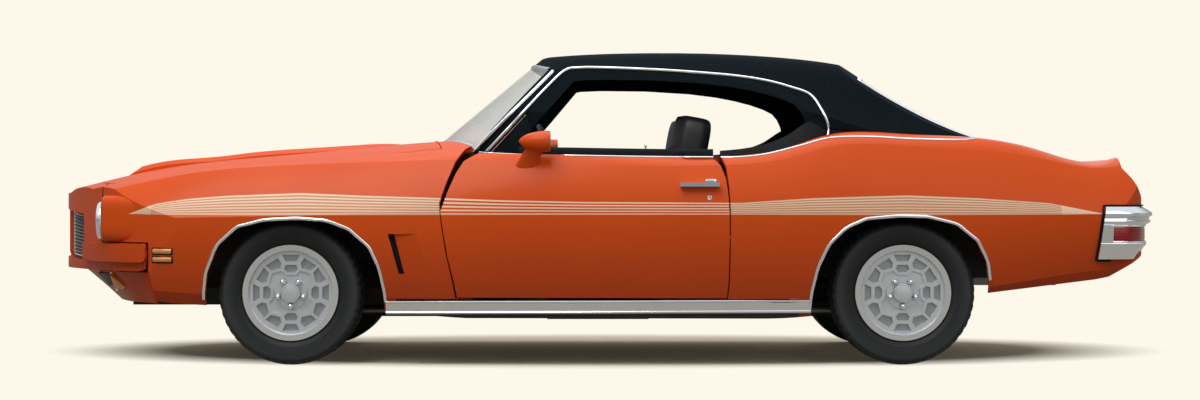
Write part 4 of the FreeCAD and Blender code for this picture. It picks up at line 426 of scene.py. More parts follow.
def domed(width, rise, sunk=0.004):
    """A strip's section: half an oval for its face, and a foot sunk in what carries it."""
    turn = np.linspace(0, math.pi, 7)
    face = np.stack([np.cos(turn) * width / 2, np.sin(turn) * rise], 1)
    return np.vstack([face, [(-width / 2, -sunk), (width / 2, -sunk)]])


def other_side(grids):
    """The same grids mirrored to the car's right side."""
    return [grid * (1, -1, 1) for grid in grids]


def both_sides(grids):
    """The grids of the left side and their mirrored twins."""
    return grids + other_side(grids)


def piece(name, grids, finish, body, ring=False, crease=40):
    """One mesh of closed forms: each row of a grid is a closed section, its first and last rows are
    capped unless the rows close in a ring, and the faces are turned so that the volume is positive."""
    corners, faces, start = [], [], 0
    for grid in grids:
        rows, count = grid.shape[:2]
        points = grid.reshape(-1, 3)
        index = np.arange(rows * count).reshape(rows, count)
        line = np.vstack([index, index[:1]]) if ring else index
        near, far = line[:-1], line[1:]
        quads = np.stack([near, far, np.roll(far, -1, 1), np.roll(near, -1, 1)], -1).reshape(-1, 4)
        caps = np.empty((0, count), dtype=int) if ring else np.stack([index[0], index[-1][::-1]])
        middle = points - points.mean(0)
        fans = [quads[:, [0, 1, 2]], quads[:, [0, 2, 3]]]
        fans += [np.stack([np.full(count - 2, cap[0]), cap[1:-1], cap[2:]], 1) for cap in caps]
        fans = np.vstack(fans)
        volume = (middle[fans[:, 0]] * np.cross(middle[fans[:, 1]], middle[fans[:, 2]])).sum()
        if volume < 0:
            quads, caps = quads[:, ::-1], caps[:, ::-1]
        corners.append(points)
        faces += (quads + start).tolist() + (caps + start).tolist()
        start += len(points)
    mesh = bpy.data.meshes.new(name)
    mesh.from_pydata(np.vstack(corners).tolist(), [], faces)
    mesh.shade_smooth()
    mesh.set_sharp_from_angle(angle=math.radians(crease))
    mesh.materials.append(finish.material)
    made = put_in(name, mesh)
    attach(made, body)
    return made


outside = skin("front_bumper", "front_valance", "fender_left", "door_left", "quarter_left", "rockers", "roof")


def opening_edge(axle_x, degrees, strip):
    """The edge of a wheel opening seen from the side: on each spoke from the axle, the span from open
    air at 0.30 m to metal at 0.45 m is halved twelve times. Half a strip's width goes on top."""
    turn = np.radians(degrees)
    spokes = np.stack([np.cos(turn), turn * 0, np.sin(turn)], 1)
    inner, outer = np.full(len(turn), 0.30), np.full(len(turn), 0.45)
    for _ in range(12):
        middle = (inner + outer) / 2
        spots = np.array((axle_x, -2.0, axle_height)) + spokes * middle[:, None]
        clear = [outside.ray_cast(Vector(spot), Vector((0, 1, 0)), 1.35)[0] is None for spot in spots]
        inner, outer = np.where(clear, middle, inner), np.where(clear, outer, middle)
    return np.array((axle_x, -0.95, axle_height)) + spokes * (outer + strip / 2)[:, None]


arch_width = 0.015
arches = []
for axle_x, first, last in ((front_axle, -5.0, 184.0), (rear_axle, 9.0, 189.0)):
    edge = through(opening_edge(axle_x, np.linspace(first, last, 34), arch_width), 90)
    arches.append(carried(landed(outside, edge, (0, 1, 0), 0.09), (0, -1, 0), domed(arch_width, 0.006)))
piece("wheel_opening_mouldings", both_sides(arches), chrome, "body")

# Tyres: black rubber moulded with a bulging sidewall, fine rings on it, four grooves round the tread
# and sipes across its shoulders, seated on each rim's beads.
rubber = Finish("tyre_rubber", roughness=0.58, specular_ior_level=0.3)
rx, _, rz = apart(rubber.tree)
radius = from_axle(rx, rz)
# Painted highlight: a lighter grey band round the sidewall's bulge, running on towards the tread's shoulder.
sidewall_highlight = radius.ramp(0.255, 0.290) * radius.ramp(0.322, 0.296) * 0.8
rubber_tone = rubber.clouded(25.0, 5.0, (0.009, 0.011, 0.012), (0.015, 0.018, 0.020))
rubber.wear(base_color=rubber.mixed(sidewall_highlight, rubber_tone, (0.038, 0.043, 0.046)))
rubber.raised(rubber.noise(260.0, 3.0), 0.0003, 0.4)
# Half of the tyre's section, from its tread's middle to its bead, as (radius, width).
half_tyre = [(0.3270, 0.0), (0.3270, 0.0140), (0.3200, 0.0150), (0.3200, 0.0210), (0.3270, 0.0220),
             (0.3268, 0.0480), (0.3198, 0.0490), (0.3198, 0.0550), (0.3265, 0.0560), (0.3252, 0.0700),
             (0.3232, 0.0830), (0.3190, 0.0940), (0.3120, 0.1010), (0.3035, 0.1050), (0.3020, 0.1066),
             (0.2990, 0.1072), (0.2960, 0.1076), (0.2800, 0.1096), (0.2640, 0.1092), (0.2480, 0.1050),
             (0.2460, 0.1056), (0.2430, 0.1046), (0.2300, 0.0985), (0.2200, 0.0910), (0.2165, 0.0860)]
tyre_form = np.array([(r, -w) for r, w in half_tyre[:0:-1]] + half_tyre)
tyre_steps, tyre_y, sipe_depth = 288, 0.76, 0.0045
shoulder = (np.abs(tyre_form[:, 1]) > 0.0555) * (tyre_form[:, 0] > 0.310)
sipes = (np.arange(tyre_steps) % 6 < 2)[:, None] * shoulder
tyre_radius = tyre_form[:, 0] - sipe_depth * sipes
around = np.linspace(0, 2 * math.pi, tyre_steps, endpoint=False)[:, None]
for corner, (axle_x, side) in wheel_places.items():
    rows = np.stack([axle_x + tyre_radius * np.sin(around), side * tyre_y + tyre_form[:, 1] + tyre_radius * 0,
                     axle_height + tyre_radius * np.cos(around)], -1)
    made = piece("tyre_tread_" + corner, [rows], rubber, "wheel_" + corner, ring=True, crease=28)
    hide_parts("tyre_" + corner)


# Wheel nuts and hub caps: five plated dome nuts on studs, screwed down on the rim's seats, and a plain
# turned cap pressed into the hub's bore.
def turned(profile, centre, out, count):
    """A solid turned about a line along one of the car's axes: one circle for each (radius, outwards) of
    its profile, the cosine along the first of the two other axes and the sine along the second."""
    turn = np.linspace(0, 2 * math.pi, count, endpoint=False)[:, None]
    first, second = np.eye(3)[np.equal(out, 0)]
    circle = first * np.cos(turn) + second * np.sin(turn)
    radius, reach = np.array(profile, dtype=float).T[..., None, None]
    return np.array(centre) + radius * circle + reach * np.array(out)


nut_form = ((0.0135, -0.006), (0.0135, 0.003), (0.0115, 0.006), (0.0110, 0.014), (0.0095, 0.019),
            (0.0060, 0.022), (0.0020, 0.023))
cap_form = ((0.0430, -0.004), (0.0430, 0.003), (0.0405, 0.006), (0.0375, 0.0065), (0.0365, 0.0045),
            (0.0340, 0.0045), (0.0325, 0.0075), (0.0150, 0.0095), (0.0020, 0.0100))
stud_radius, ray_start = 0.0605, 0.83
nut_turn = np.radians(np.arange(5) * 72.0 - 90.0)
nut_circle = np.stack([np.cos(nut_turn), nut_turn * 0, np.sin(nut_turn)], 1) * stud_radius
for corner, (axle_x, side) in wheel_places.items():
    centre = np.array((axle_x, side * ray_start, axle_height))
    spots = landed(skin("rim_" + corner), np.vstack([centre + nut_circle, centre]), (0, -side, 0), 0.12)
    seat = side * np.abs(spots[:5, 1]).min()
    nuts = [turned(nut_form, (x, seat, z), (0, side, 0), 18) for x, _, z in spots[:5]]
    cap = turned(cap_form, spots[5], (0, side, 0), 40)
    piece("wheel_nuts_" + corner, nuts, chrome, "wheel_" + corner, crease=35)
    piece("hub_cap_" + corner, [cap], silver, "wheel_" + corner, crease=30)

# Rocker mouldings: wide ribbed strips of bright rolled metal along each sill between the wheels,
# snapped on clips.
rocker_ribs = ((-0.031, -0.004), (-0.031, 0.004), (-0.029, 0.007), (-0.023, 0.007), (-0.020, 0.004),
               (0.0, 0.005), (0.018, 0.004), (0.021, 0.008), (0.027, 0.009), (0.031, 0.006), (0.031, -0.004))
sill_line = through(((-0.950, -0.908, 0.264), (-0.438, -0.914, 0.265), (0.010, -0.914, 0.266),
                     (0.459, -0.914, 0.268), (0.955, -0.914, 0.270)), 50)
sill = [carried(sill_line, (0, -0.93, -0.30), rocker_ribs)]
piece("rocker_mouldings", both_sides(sill), chrome, "body", crease=25)

# Drip mouldings: a bright rolled gutter from the foot of the windshield pillar, over the windows and
# down to the belt behind them, with a second fine line inside it. It is crimped on the roof's flange.
drip_line = ((-0.506, -0.756, 0.966), (-0.436, -0.757, 1.040), (-0.331, -0.747, 1.154),
             (-0.242, -0.691, 1.252), (-0.153, -0.645, 1.338), (-0.090, -0.634, 1.351),
             (0.010, -0.634, 1.352), (0.200, -0.639, 1.345), (0.391, -0.643, 1.334), (0.619, -0.643, 1.315),
             (0.771, -0.648, 1.292), (0.885, -0.659, 1.261), (0.975, -0.685, 1.225), (1.022, -0.731, 1.150),
             (1.048, -0.760, 1.082), (1.040, -0.809, 1.035))
drip_path = landed(outside, through(drip_line, 110), (0, 1, 0), 0.05)
fine_path = drip_path + (0.004, 0, -0.022)
gutter = [carried(drip_path, (0, -0.9, 0.35), domed(0.015, 0.009)),
          carried(fine_path, (0, -0.9, 0.35), domed(0.006, 0.005))]
piece("drip_mouldings", both_sides(gutter), chrome, "body")


# Belt mouldings: bright strips along the top of each door and on over the quarter to the foot of the
# rear window, pushed onto studs.
def on_doors(name, grids, finish, crease=40):
    """Two pieces: the grids on the left door, and mirrored on the right one."""
    return [piece(name + "_left", grids, finish, "door_left", crease=crease),
            piece(name + "_right", other_side(grids), finish, "door_right", crease=crease)]


belt_line = ((-0.540, -0.742, 0.962), (-0.477, -0.760, 0.958), (-0.330, -0.815, 0.950),
             (0.010, -0.868, 0.943), (0.307, -0.868, 0.939), (0.520, -0.868, 0.938))
belt_path = landed(outside, through(belt_line, 50), (0, 1, 0), 0.03)
on_doors("belt_moulding", [carried(belt_path, (0, -0.9, 0.3), domed(0.009, 0.005))], chrome)
rear_belt = ((0.556, -0.868, 0.938), (0.645, -0.868, 0.939), (0.758, -0.861, 0.952), (0.908, -0.845, 0.989),
             (1.040, -0.830, 1.024), (1.211, -0.836, 1.031), (1.419, -0.832, 1.021), (1.629, -0.817, 1.017),
             (1.707, -0.790, 1.022))
rear_belt_path = landed(outside, through(rear_belt, 70), (0, 1, 0), 0.03)
rear_strip = [carried(rear_belt_path, (0, -0.85, 0.5), domed(0.010, 0.005))]
piece("quarter_belt_mouldings", both_sides(rear_strip), chrome, "body")

# Window seals: black rubber lips along the top of each door, outside and inside the lowered glass,
# pressed into the door's channel.
rubber_seal = Finish("seal_rubber", roughness=0.6, specular_ior_level=0.10)
rubber_seal.wear(base_color=rubber_seal.clouded(40.0, 4.0, (0.004, 0.005, 0.007), (0.012, 0.014, 0.016)))
rubber_seal.raised(rubber_seal.noise(300.0, 2.0), 0.0003, 0.3)
lip_path = belt_path[belt_path[:, 0] > -0.37] + (0, 0.020, 0.006)
lips = [carried(lip_path, (0, -0.1, 1), domed(0.020, 0.031, 0.012)),
        carried(lip_path + (0, 0.040, 0), (0, 0.2, 1), domed(0.014, 0.024, 0.010))]
on_doors("window_seals", lips, rubber_seal)

# Quarter trims: moulded black covers over the ledge of each quarter beside the rear seat, with the
# window's rubber lip along their outer edge, that rises to the foot of the roof's pillar.
trim_x = np.linspace(0.552, 1.140, 44)
trim_stops = (0.552, 0.650, 0.758, 0.860, 0.930, 0.980, 1.030, 1.140)
above_ledge = np.stack(np.broadcast_arrays(trim_x, -0.70, 1.0), 1)
ledge = landed(skin("quarter_left"), above_ledge, (0, 0, -1), 0.2)[:, 2]
lip_high = np.interp(trim_x, trim_stops, (0.026, 0.030, 0.038, 0.056, 0.082, 0.090, 0.070, 0.050))
lip_foot = np.interp(trim_x, trim_stops, (0.845, 0.845, 0.843, 0.838, 0.825, 0.795, 0.760, 0.742))
lip_top = np.interp(trim_x, trim_stops, (0.835, 0.833, 0.825, 0.806, 0.770, 0.747, 0.744, 0.738))
trim_section = ((lip_foot, -0.030), (lip_top, lip_high - 0.004), (lip_top - 0.004, lip_high),
                (lip_top - 0.009, lip_high - 0.003), (lip_foot - 0.045, 0.006), (0.645, 0.004),
                (0.637, -0.002), (0.636, -0.045), (0.642, -0.045), (0.646, -0.010))
trim_rows = np.stack([np.stack(np.broadcast_arrays(trim_x, -width, ledge + up), -1)
                      for width, up in trim_section], 1)
piece("quarter_trims", both_sides([trim_rows]), rubber_seal, "body")

# Windshield and rear-window mouldings: bright strips round both glasses, clipped over the rubber that
# the glass is bedded in.
front_glass = skin("windshield", "roof", "cowl")
pillar_line = ((-0.568, -0.737, 0.965), (-0.445, -0.753, 1.091), (-0.323, -0.712, 1.215),
               (-0.206, -0.642, 1.337))
header_line = ((-0.200, -0.610, 1.348), (-0.270, -0.300, 1.374), (-0.318, 0.0, 1.380), (-0.270, 0.300, 1.374),
               (-0.200, 0.610, 1.348))
pillar_path = landed(outside, through(pillar_line, 40), (0, 1, 0), 0.06)
header_path = landed(front_glass, through(header_line, 60), (1, 0, 0), 0.12)
base_y = np.linspace(-0.735, 0.735, 60)
base_x = -0.783 + 0.245 * (np.abs(base_y) / 0.785) ** 2.2
above_base = np.stack(np.broadcast_arrays(base_x, base_y, 1.02), 1)
base_path = landed(skin("cowl", "fender_left", "fender_right"), above_base, (0, 0, -1), 0.12)
pillars = [carried(pillar_path, (-0.4, -0.9, 0.3), domed(0.016, 0.007))]
header = carried(header_path, (-0.8, 0, 0.6), domed(0.018, 0.006))
base = carried(base_path, (-0.4, 0, 0.9), domed(0.014, 0.005))
piece("windshield_mouldings", both_sides(pillars) + [header, base], chrome, "body")
back_half = np.array(((1.70, -0.572, 1.000), (1.50, -0.570, 1.045), (1.20, -0.545, 1.180),
                      (1.05, -0.515, 1.290), (1.00, -0.480, 1.305), (0.97, -0.300, 1.324)))
back_line = np.vstack([back_half, (0.96, 0.0, 1.332), back_half[::-1] * (1, -1, 1)])
back_path = landed(skin("rear_window", "roof"), through(back_line, 120), (-1, 0, 0), 0.6)
back = carried(back_path, (0.6, 0, 0.8), domed(0.016, 0.005))
piece("rear_window_moulding", [back], chrome, "body")

# Side marker lamps: two amber plastic lenses above each other on each front fender, each in a dark
# rubber frame let into the sheet steel.
amber = Finish("amber_lens", roughness=0.15, coat_weight=1.0)
amber_rib = (apart(amber.tree)[0] * 140.0).zigzag()
# Painted highlight and shade: the crests of the moulded ribs are painted lighter amber, the grooves darker.
amber.wear(base_color=amber.mixed(amber_rib * 2.0, (0.60, 0.19, 0.012), (0.80, 0.31, 0.03)))
amber.raised(amber_rib, 0.0015, 0.4)
for name, front, rear, section, finish, slot in (
        ("side_marker_lenses", (-1.992, -0.917), (-1.908, -0.933), domed(0.024, 0.008), amber, "lamp_glass"),
        ("side_marker_frames", (-1.998, -0.916), (-1.902, -0.934), domed(0.034, 0.003), rubber_seal,
         "black_plastic")):
    strips = []
    for height in (0.516, 0.479):
        line = through(((*front, height), (-1.950, -0.926, height), (*rear, height)), 12)
        strips.append(carried(landed(outside, line, (0, 1, 0), 0.03), (-0.2, -1, 0), section))
    piece(name, both_sides(strips), finish, "body")


# Turn signals and ducts: in the valance on each side an amber plastic wedge behind a bright strip, and
# ahead of it the black mouth of the brake-cooling duct, all set in from behind.
def plate(outline, out, depth, edge, sunk=0.004):
    """A flat piece with a rolled edge: its outline sunk, raised, then drawn in towards its middle."""
    line = np.array(outline, dtype=float)
    out = np.array(out, dtype=float) / np.linalg.norm(out)
    middle = line.mean(0)
    reach = np.linalg.norm(line - middle, axis=1)[:, None]
    drawn = middle + (line - middle) * (1 - edge / reach)
    return np.stack([line - out * sunk, line + out * (depth - edge * 0.6), drawn + out * depth])


signal_out = (-0.75, -0.62, -0.2)
signal = [plate(((-2.226, -0.668, 0.408), (-2.150, -0.700, 0.352), (-2.160, -0.680, 0.338),
                 (-2.206, -0.650, 0.340)), signal_out, 0.016, 0.005, 0.020)]
strip_path = through(((-2.231, -0.660, 0.414), (-2.219, -0.652, 0.376), (-2.205, -0.640, 0.330)), 12)
signal_strip = [carried(strip_path, signal_out, domed(0.012, 0.008, 0.02))]
duct = [plate(((-2.318, -0.520, 0.408), (-2.238, -0.648, 0.410), (-2.228, -0.640, 0.360),
               (-2.262, -0.520, 0.345)), (-0.85, -0.45, -0.25), 0.004, 0.004, 0.020)]
piece("turn_signal_lenses", both_sides(signal), amber, "body")
piece("turn_signal_strips", both_sides(signal_strip), chrome, "body")
piece("brake_ducts", both_sides(duct), plastic, "body")

# Headlamps: a sealed glass lens with a slight dome and fine flutes moulded in it, held by a plated
# steel ring that is screwed on.
clear_lens = Finish("lamp_glass", roughness=0.08, coat_weight=1.0, metallic=0.35)
flute = (apart(clear_lens.tree)[1] * 90.0).zigzag()
# Painted highlight and shade: the crests of the moulded flutes are painted light, the grooves between them
# dark.
clear_lens.wear(base_color=clear_lens.mixed(flute * 2.0, (0.45, 0.48, 0.50), (0.85, 0.88, 0.90)))
clear_lens.raised(flute, 0.002, 0.5)
dress(clear_lens, "headlamps")
lamp_x, lamp_z = -2.262, 0.650
ring_form = ((0.076, 0.004), (0.076, -0.005), (0.080, -0.009), (0.086, -0.008), (0.0915, 0.002),
             (0.0915, 0.010), (0.086, 0.010))
dome_radius = np.linspace(0.076, 0.004, 9)
dome_form = np.stack([dome_radius, -0.001 - 0.007 * (1 - (dome_radius / 0.078) ** 2)], 1)
lens_form = np.vstack([dome_form[:1] + (0, 0.006), dome_form])
for lamp_y, word in ((-0.735, "left"), (0.735, "right")):
    lamp_ring, lamp_lens = (turned(form, (lamp_x, lamp_y, lamp_z), (1, 0, 0), 48)
                            for form in (ring_form, lens_form))
    piece("headlamp_ring_" + word, [lamp_ring], chrome, "body", ring=True)
    piece("headlamp_lens_" + word, [lamp_lens], clear_lens, "body")


# Fender noses: pressed steel extensions in body colour that carry each fender's side flush to the
# front, round the headlamp, bolted on from inside.
def squared(wave, power):
    """A cosine or sine drawn towards a square wave: its size raised to a power below 1, its sign kept."""
    return np.sign(wave) * np.abs(wave) ** power


def rounded(width, height, power, count=48):
    """A rectangle with round corners, as offsets across and up: the squared cosine and sine of one turn."""
    turn = np.linspace(0, 2 * math.pi, count, endpoint=False)
    return squared(np.cos(turn), power) * width / 2, squared(np.sin(turn), power) * height / 2


nose_x = np.linspace(-2.246, -2.056, 24)[:, None]
nose_out = np.interp(nose_x, (-2.246, -2.238, -2.20, -2.15, -2.10, -2.056),
                     (0.826, 0.834, 0.846, 0.861, 0.875, 0.882))
nose_half = np.interp(nose_x, (-2.246, -2.238, -2.056), (0.092, 0.097, 0.085))
nose_high = np.interp(nose_x, (-2.246, -2.238, -2.15, -2.056), (0.098, 0.105, 0.108, 0.100))
across, up = rounded(2, 2, 0.45, 64)
nose = np.stack([nose_x + across * 0, nose_half * (1 + across) - nose_out, nose_high * up + 0.660], -1)
piece("fender_noses", both_sides([nose]), paint, "body", crease=50)

# Grilles: deep openings with a plated frame round a dark insert of slim horizontal bars, cast in one
# and held by screws from behind.
grille_back = skin("grilles")
grille_near, grille_far = (0.494, 0.694), (0.478, 0.664)


def across_grille(start, end, count, section):
    """A straight strip between two points of (place across, height), laid on the insert from the front."""
    run = np.linspace((-2.45, -start[0], start[1]), (-2.45, -end[0], end[1]), count)
    return carried(landed(grille_back, run, (1, 0, 0), 0.4), (-1, 0, 0), section)


corners = [(0.078, grille_near[0]), (0.078, grille_near[1]), (0.500, grille_far[1]), (0.500, grille_far[0])]
rims = [across_grille(first, last, 14, domed(0.010, 0.010))
        for first, last in zip(corners, corners[1:] + corners[:1])]
parts = np.linspace(0.08, 0.92, 11)
bars = [across_grille((0.082, near), (0.496, far), 20, domed(0.005, 0.008))
        for near, far in zip(np.interp(parts, (0, 1), grille_near), np.interp(parts, (0, 1), grille_far))]
piece("grille_rims", both_sides(rims), chrome, "body")
piece("grille_bars", both_sides(bars), dull_steel, "body")

# Door locks and handle pods: a plated lock barrel clamped in the skin below each handle, and the cast
# and plated housing of the thumb button.
lock_spots = landed(outside, [(0.500, -0.955, 0.756), (0.507, -0.935, 0.827)], (0, 1, 0), 0.05)
lock_forms = ((rounded(0.022, 0.022, 1, 24), ((1.0, -0.004), (1.0, 0.003), (0.75, 0.005), (0.3, 0.004))),
              (rounded(0.056, 0.030, 0.6, 24), ((1.0, -0.006), (1.0, 0.008), (0.85, 0.013), (0.5, 0.015))))
locks = [np.stack([np.stack([x + across * size, across * 0 + y - out, z + up * size], -1)
                   for size, out in form])
         for (x, y, z), ((across, up), form) in zip(lock_spots, lock_forms)]
on_doors("door_lock", locks, chrome)

# Mirror glasses: flat silvered ovals of glass, let into the back of each bullet-shaped housing and
# held by its rim.
silvered = Finish("mirror_glass", metallic=1.0, roughness=0.03)
silvered.wear(base_color=silvered.clouded(8.0, 2.0, (0.55, 0.57, 0.60), (0.62, 0.64, 0.66)))
across, up = rounded(0.098, 0.084, 1, 40)
mirror = plate(np.stack([across * 0 - 0.2125, across - 0.955, up + 1.008], -1), (1, 0, 0), 0.002, 0.002)
on_doors("mirror_glass", [mirror], silvered)

# Front seats: bucket seats of sprung steel and moulded foam under black vinyl, with sewn channels
# down the middle and a separate head restraint.
seat_vinyl = Finish("seat_vinyl", roughness=0.45, specular_ior_level=0.5)
seat_vinyl.wear(base_color=seat_vinyl.clouded(30.0, 5.0, (0.010, 0.011, 0.013), (0.026, 0.027, 0.030)))
seat_vinyl.raised(seat_vinyl.grain(380.0) * 0.6 + seat_vinyl.noise(90.0, 3.0) * 0.4, 0.0008, 0.6)


def stuffed(start, end, width, thickness, rows=26, count=56, channels=0, flare=0.0, crown=0.10, square=6):
    """A padded form from its start to its end: each section is a squared oval whose size follows a
    squared oval along the length too, and whose front sinks in a cosine along each sewn channel."""
    start, end = np.array(start, dtype=float), np.array(end, dtype=float)
    t = np.linspace(-1, 1, rows)
    along = (end - start) / np.linalg.norm(end - start)
    sideways = np.array((0.0, 1.0, 0.0))
    front = np.cross(sideways, along)
    full = (1 - np.abs(t) ** square * 0.94) ** (1 / 2.6)
    spot = start + (end - start) * ((np.sin(t * math.pi / 2) + 1) / 2)[:, None]
    turn = np.linspace(0, 2 * math.pi, count, endpoint=False)
    a, b = squared(np.cos(turn), 0.55), squared(np.sin(turn), 0.62)
    half = width / 2 * full * (1 + flare * t)
    deep = thickness / 2 * full
    sew = np.cos(a * math.pi * channels) * 0.5 + 0.5 if channels else np.zeros(count)
    dip = np.where(np.abs(a) < 0.62, sew, 0) * 0.012 * (np.abs(t) < 0.8)[:, None]
    swell = deep[:, None] * b * (1 + crown * (1 - a ** 2)) + np.where(b > 0, -dip, 0)
    return spot[:, None] + sideways * (half[:, None] * a)[..., None] + front * swell[..., None]


def pad(name, form, node):
    """A seat's pad in place of the seat's plain solid."""
    made = piece(name, [form], seat_vinyl, "body", crease=60)
    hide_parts(node)


for y, word in ((-0.405, "left"), (0.405, "right")):
    cushion = stuffed((-0.235, y, 0.352), (0.268, y, 0.330), 0.50, 0.150, channels=3)
    backrest = stuffed((0.205, y, 0.400), (0.400, y, 0.985), 0.49, -0.125, channels=3, flare=-0.06)
    restraint = stuffed((0.420, y, 0.925), (0.458, y, 1.130), 0.30, -0.150, rows=22, channels=2, square=3)
    pad("seat_cushion_" + word, cushion, "front_seats")
    pad("seat_backrest_" + word, backrest, "front_seats")
    pad("seat_head_restraint_" + word, restraint, "front_seats")

# Rear seat: a bench of the same foam and vinyl, its cushion over the tunnel and its back against the
# body, both sewn in broad channels.
bench = stuffed((0.520, 0, 0.500), (0.842, 0, 0.478), 1.12, 0.140, channels=7, crown=0.05)
bench_back = stuffed((0.800, 0, 0.545), (0.895, 0, 0.895), 1.12, -0.120, channels=7, crown=0.05)
pad("rear_seat_cushion", bench, "rear_seat")
pad("rear_seat_backrest", bench_back, "rear_seat")

# Pillar feet: black pressed covers that carry each windshield pillar down to the cowl and the door,
# finished like the roof and clipped to the pillar.
foot = [plate(((-0.562, -0.738, 0.962), (-0.470, -0.757, 0.952), (-0.365, -0.806, 0.952),
               (-0.352, -0.792, 1.010), (-0.300, -0.762, 1.060), (-0.330, -0.748, 1.150),
               (-0.420, -0.748, 1.110)), (0, -0.93, 0.30), 0.001, 0.003, 0.022)]
piece("pillar_feet", both_sides(foot), vinyl, "body")

# Vent screens: black screens of pressed sheet that close the slot behind each front wheel, fixed from
# inside the fender.
screen = [plate(((-0.945, -0.930, 0.605), (-0.900, -0.930, 0.605), (-0.855, -0.925, 0.405),
                 (-0.900, -0.925, 0.405)), (0, -1, 0), 0.002, 0.002)]
piece("vent_screens", both_sides(screen), rubber_seal, "body")

# Rear bumper: one stamped and plated steel bar that wraps both corners, with a sloping ledge over the
# lamps, a bead under them and a lower edge that turns in. It is bolted to the frame.
bumper_plan = ((2.553, 0.0, 0), (2.550, 0.40, 0), (2.538, 0.65, 0), (2.510, 0.80, 0), (2.465, 0.900, 0),
               (2.400, 0.955, 0), (2.340, 0.9625, 0), (2.296, 0.9635, 0), (2.2545, 0.9640, 0))
half_line = through(bumper_plan, 70)
whole_line = np.vstack([half_line[::-1] * (1, -1, 1), half_line[1:]])
bumper_form = ((-0.058, 0.7155), (-0.046, 0.7155), (-0.020, 0.700), (-0.002, 0.688), (0.000, 0.681),
               (-0.004, 0.673), (-0.014, 0.668), (-0.014, 0.656), (-0.008, 0.652), (-0.008, 0.646),
               (-0.016, 0.640), (-0.030, 0.634), (-0.042, 0.628), (-0.044, 0.562), (-0.032, 0.556),
               (-0.026, 0.550), (-0.028, 0.543), (-0.040, 0.530), (-0.052, 0.510), (-0.064, 0.490),
               (-0.068, 0.4805), (-0.085, 0.4805), (-0.085, 0.7155))


def wrapped(line, form):
    """A section of (out, height) carried round the car's end in plan. Between 2.49 m and 2.33 m along
    the car its depth falls to three tenths, and from 2.34 m forward its height leans it along the car."""
    along = np.gradient(line, axis=0)
    along /= np.linalg.norm(along, axis=1)[:, None]
    out, height = np.array(form).T[:, None]
    x, y = line[:, :1], line[:, 1:2]
    out = out * (0.30 + 0.70 * np.clip((x - 2.33) / 0.16, 0, 1))
    lean = np.clip((2.34 - x) / 0.08, 0, 1) * (height - 0.598) * 0.14
    return np.stack([x + along[:, 1:2] * out + lean, y - along[:, :1] * out, height + out * 0], -1)


end_form = ((-0.080, 0.636), (-0.012, 0.634), (-0.012, 0.556), (-0.080, 0.554))
end_run = whole_line[(whole_line[:, 1] < -0.5) & (whole_line[:, 0] < 2.291)]
bumper_grids = [wrapped(whole_line, bumper_form)] + both_sides([wrapped(end_run, end_form)])
made = piece("rear_bumper_bar", bumper_grids, chrome, "body", crease=30)
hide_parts("rear_bumper")

# Bumper seals: black moulded rubber that fills the gap between the bumper's ends and the quarters,
# pushed over the quarter's edge.
seal_line = ((2.300, -0.93, 0.473), (2.250, -0.93, 0.473), (2.236, -0.93, 0.476), (2.237, -0.93, 0.490),
             (2.252, -0.93, 0.60), (2.266, -0.93, 0.710), (2.270, -0.93, 0.719), (2.280, -0.93, 0.721),
             (2.340, -0.93, 0.721), (2.400, -0.92, 0.721), (2.440, -0.90, 0.721), (2.462, -0.85, 0.721))
seal_path = landed(skin("quarter_left", "rear_panel"), through(seal_line, 70), (0, 1, 0), 0.15)
seal = [carried(seal_path, (0.1, -1, 0), domed(0.009, 0.010))]
piece("bumper_seals", both_sides(seal), rubber_seal, "body")

# Tail lamps: ribbed red plastic lenses that wrap both corners inside the bumper, each in a plated rim
# over a dark gasket, screwed on from outside.
red_lens = Finish("red_lens", roughness=0.22, coat_weight=0.35, specular_ior_level=0.3)
rib = (apart(red_lens.tree)[2] * 110.0).zigzag()
# Painted highlight and shade: the crests of the moulded ribs are painted lighter red, the grooves darker.
red_lens.wear(base_color=red_lens.mixed(rib * 2.0, (0.16, 0.004, 0.004), (0.40, 0.012, 0.010)))
red_lens.raised(rib, 0.002, 0.6)
lamp_height = 0.593
red_form = ((-0.060, 0.624), (-0.040, 0.624), (-0.034, 0.619), (-0.034, 0.567), (-0.040, 0.562),
            (-0.060, 0.562))
rim_form = np.array(((-0.050, 0.634), (-0.030, 0.634), (-0.028, 0.630), (-0.030, 0.626), (-0.036, 0.6235),
                     (-0.050, 0.6235)))
low_rim_form = rim_form * (1, -1) + (0, 2 * lamp_height)
bar_form = ((-0.050, 0.634), (-0.020, 0.632), (-0.020, 0.554), (-0.050, 0.552))
lamp_run = whole_line[(whole_line[:, 1] < -0.30) & (whole_line[:, 0] > 2.300)]
bar_run = whole_line[(whole_line[:, 1] < -0.5) & (whole_line[:, 0] > 2.287) & (whole_line[:, 0] < 2.304)]
lamp_lenses = both_sides([wrapped(lamp_run, red_form)])
made = piece("tail_lamp_lenses", lamp_lenses, red_lens, "body", crease=30)
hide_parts("tail_lamps")
lamp_rims = [wrapped(lamp_run, rim_form), wrapped(lamp_run, low_rim_form), wrapped(bar_run, bar_form)]
piece("tail_lamp_rims", both_sides(lamp_rims), chrome, "body", crease=30)

# Door lock knobs: a plated pin with a small round head, screwed on the rod that comes up through each
# door's sill.
knob_form = ((0.0035, -0.020), (0.0035, 0.010), (0.0065, 0.012), (0.0070, 0.016), (0.0045, 0.019),
             (0.0015, 0.020))
on_doors("door_lock_knob", [turned(knob_form, (0.216, -0.832, 0.975), (0, 0, 1), 16)], chrome)

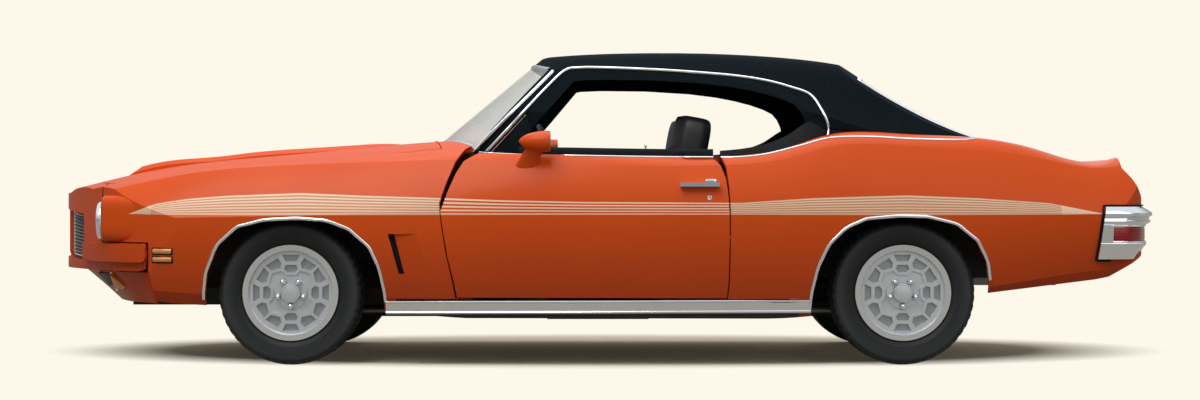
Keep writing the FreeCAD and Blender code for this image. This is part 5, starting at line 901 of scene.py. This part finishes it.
# Door trims: vinyl-covered boards clipped on the inside of each door, with a padded armrest and a
# plated window winder.
across, up = rounded(1.10, 0.37, 0.25)
lower = plate(np.stack([across - 0.02, 0.008 * up / 0.185 - 0.862, up + 0.535], -1),
              (0, 1, 0), 0.006, 0.006, 0.012)
across, up = rounded(1.06, 0.13, 0.25)
upper = plate(np.stack([across - 0.02, up * 0.27 - 0.836, up + 0.812], -1),
              (0, 1, -0.27), 0.008, 0.008, 0.014)
on_doors("door_trim", [lower, upper], seat_vinyl)
rest = stuffed((-0.200, -0.832, 0.655), (0.330, -0.832, 0.655), 0.062, 0.052, rows=20, count=32)
for armrest in on_doors("armrest", [rest], seat_vinyl, crease=60):
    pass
winder_root = turned(((0.022, -0.010), (0.022, 0.004), (0.014, 0.010), (0.004, 0.011)),
                     (-0.330, -0.852, 0.560), (0, 1, 0), 20)
winder_arm = through(((-0.330, -0.838, 0.560), (-0.300, -0.830, 0.520), (-0.262, -0.826, 0.478)), 12)
winder_knob = turned(((0.011, -0.004), (0.011, 0.022), (0.007, 0.027), (0.002, 0.028)),
                     (-0.262, -0.828, 0.478), (0, 1, 0), 16)
winder = [winder_root, carried(winder_arm, (0, 1, 0), domed(0.012, 0.005)), winder_knob]
on_doors("window_winder", winder, chrome)

# Engine top: a round plated air cleaner held by a wing nut, and a pressed, ribbed steel cover bolted
# over each bank of valves.
cleaner_form = ((0.120, -0.004), (0.120, 0.012), (0.165, 0.014), (0.172, 0.020), (0.172, 0.054),
                (0.165, 0.062), (0.140, 0.066), (0.050, 0.069), (0.020, 0.071), (0.018, 0.082),
                (0.004, 0.084))
engine_x, cover_length = -1.500, 0.480
cleaner = turned(cleaner_form, (engine_x, 0.0, 0.790), (0, 0, 1), 64)
piece("air_cleaner", [cleaner], chrome, "body", crease=30)
across, up = rounded(cover_length, 0.110, 0.25)
cover = [plate(np.stack([across + engine_x, up - 0.245, across * 0 + 0.790], -1), (0, 0, 1), 0.042, 0.014)]
for rib_x in engine_x + np.linspace(-0.36, 0.36, 7) * cover_length:
    cover.append(carried(np.linspace((rib_x, -0.282, 0.832), (rib_x, -0.208, 0.832), 5), (0, 0, 1),
                         domed(0.012, 0.005)))
piece("valve_covers", both_sides(cover), dull_steel, "body", crease=35)

# Number plate: a blank pale plate of painted, pressed aluminium in the middle of the rear bumper, on
# two plated bolts.
plate_paint = Finish("plate_blank", roughness=0.4)
plate_paint.wear(base_color=plate_paint.clouded(20.0, 4.0, (0.62, 0.61, 0.57), (0.72, 0.71, 0.67)))
plate_x = 2.5465
across, up = rounded(0.300, 0.136, 0.2)
blank = [plate(np.stack([across * 0 + plate_x, across, up + 0.600], -1), (1, 0, 0), 0.003, 0.002)]
bolt_form = ((0.006, -0.050), (0.006, 0.004), (0.009, 0.004), (0.009, 0.006), (0.003, 0.007))
blank += [turned(bolt_form, (plate_x, bolt_y, 0.632), (1, 0, 0), 12) for bolt_y in (-0.090, 0.090)]
piece("number_plate_blank", blank, plate_paint, "body")
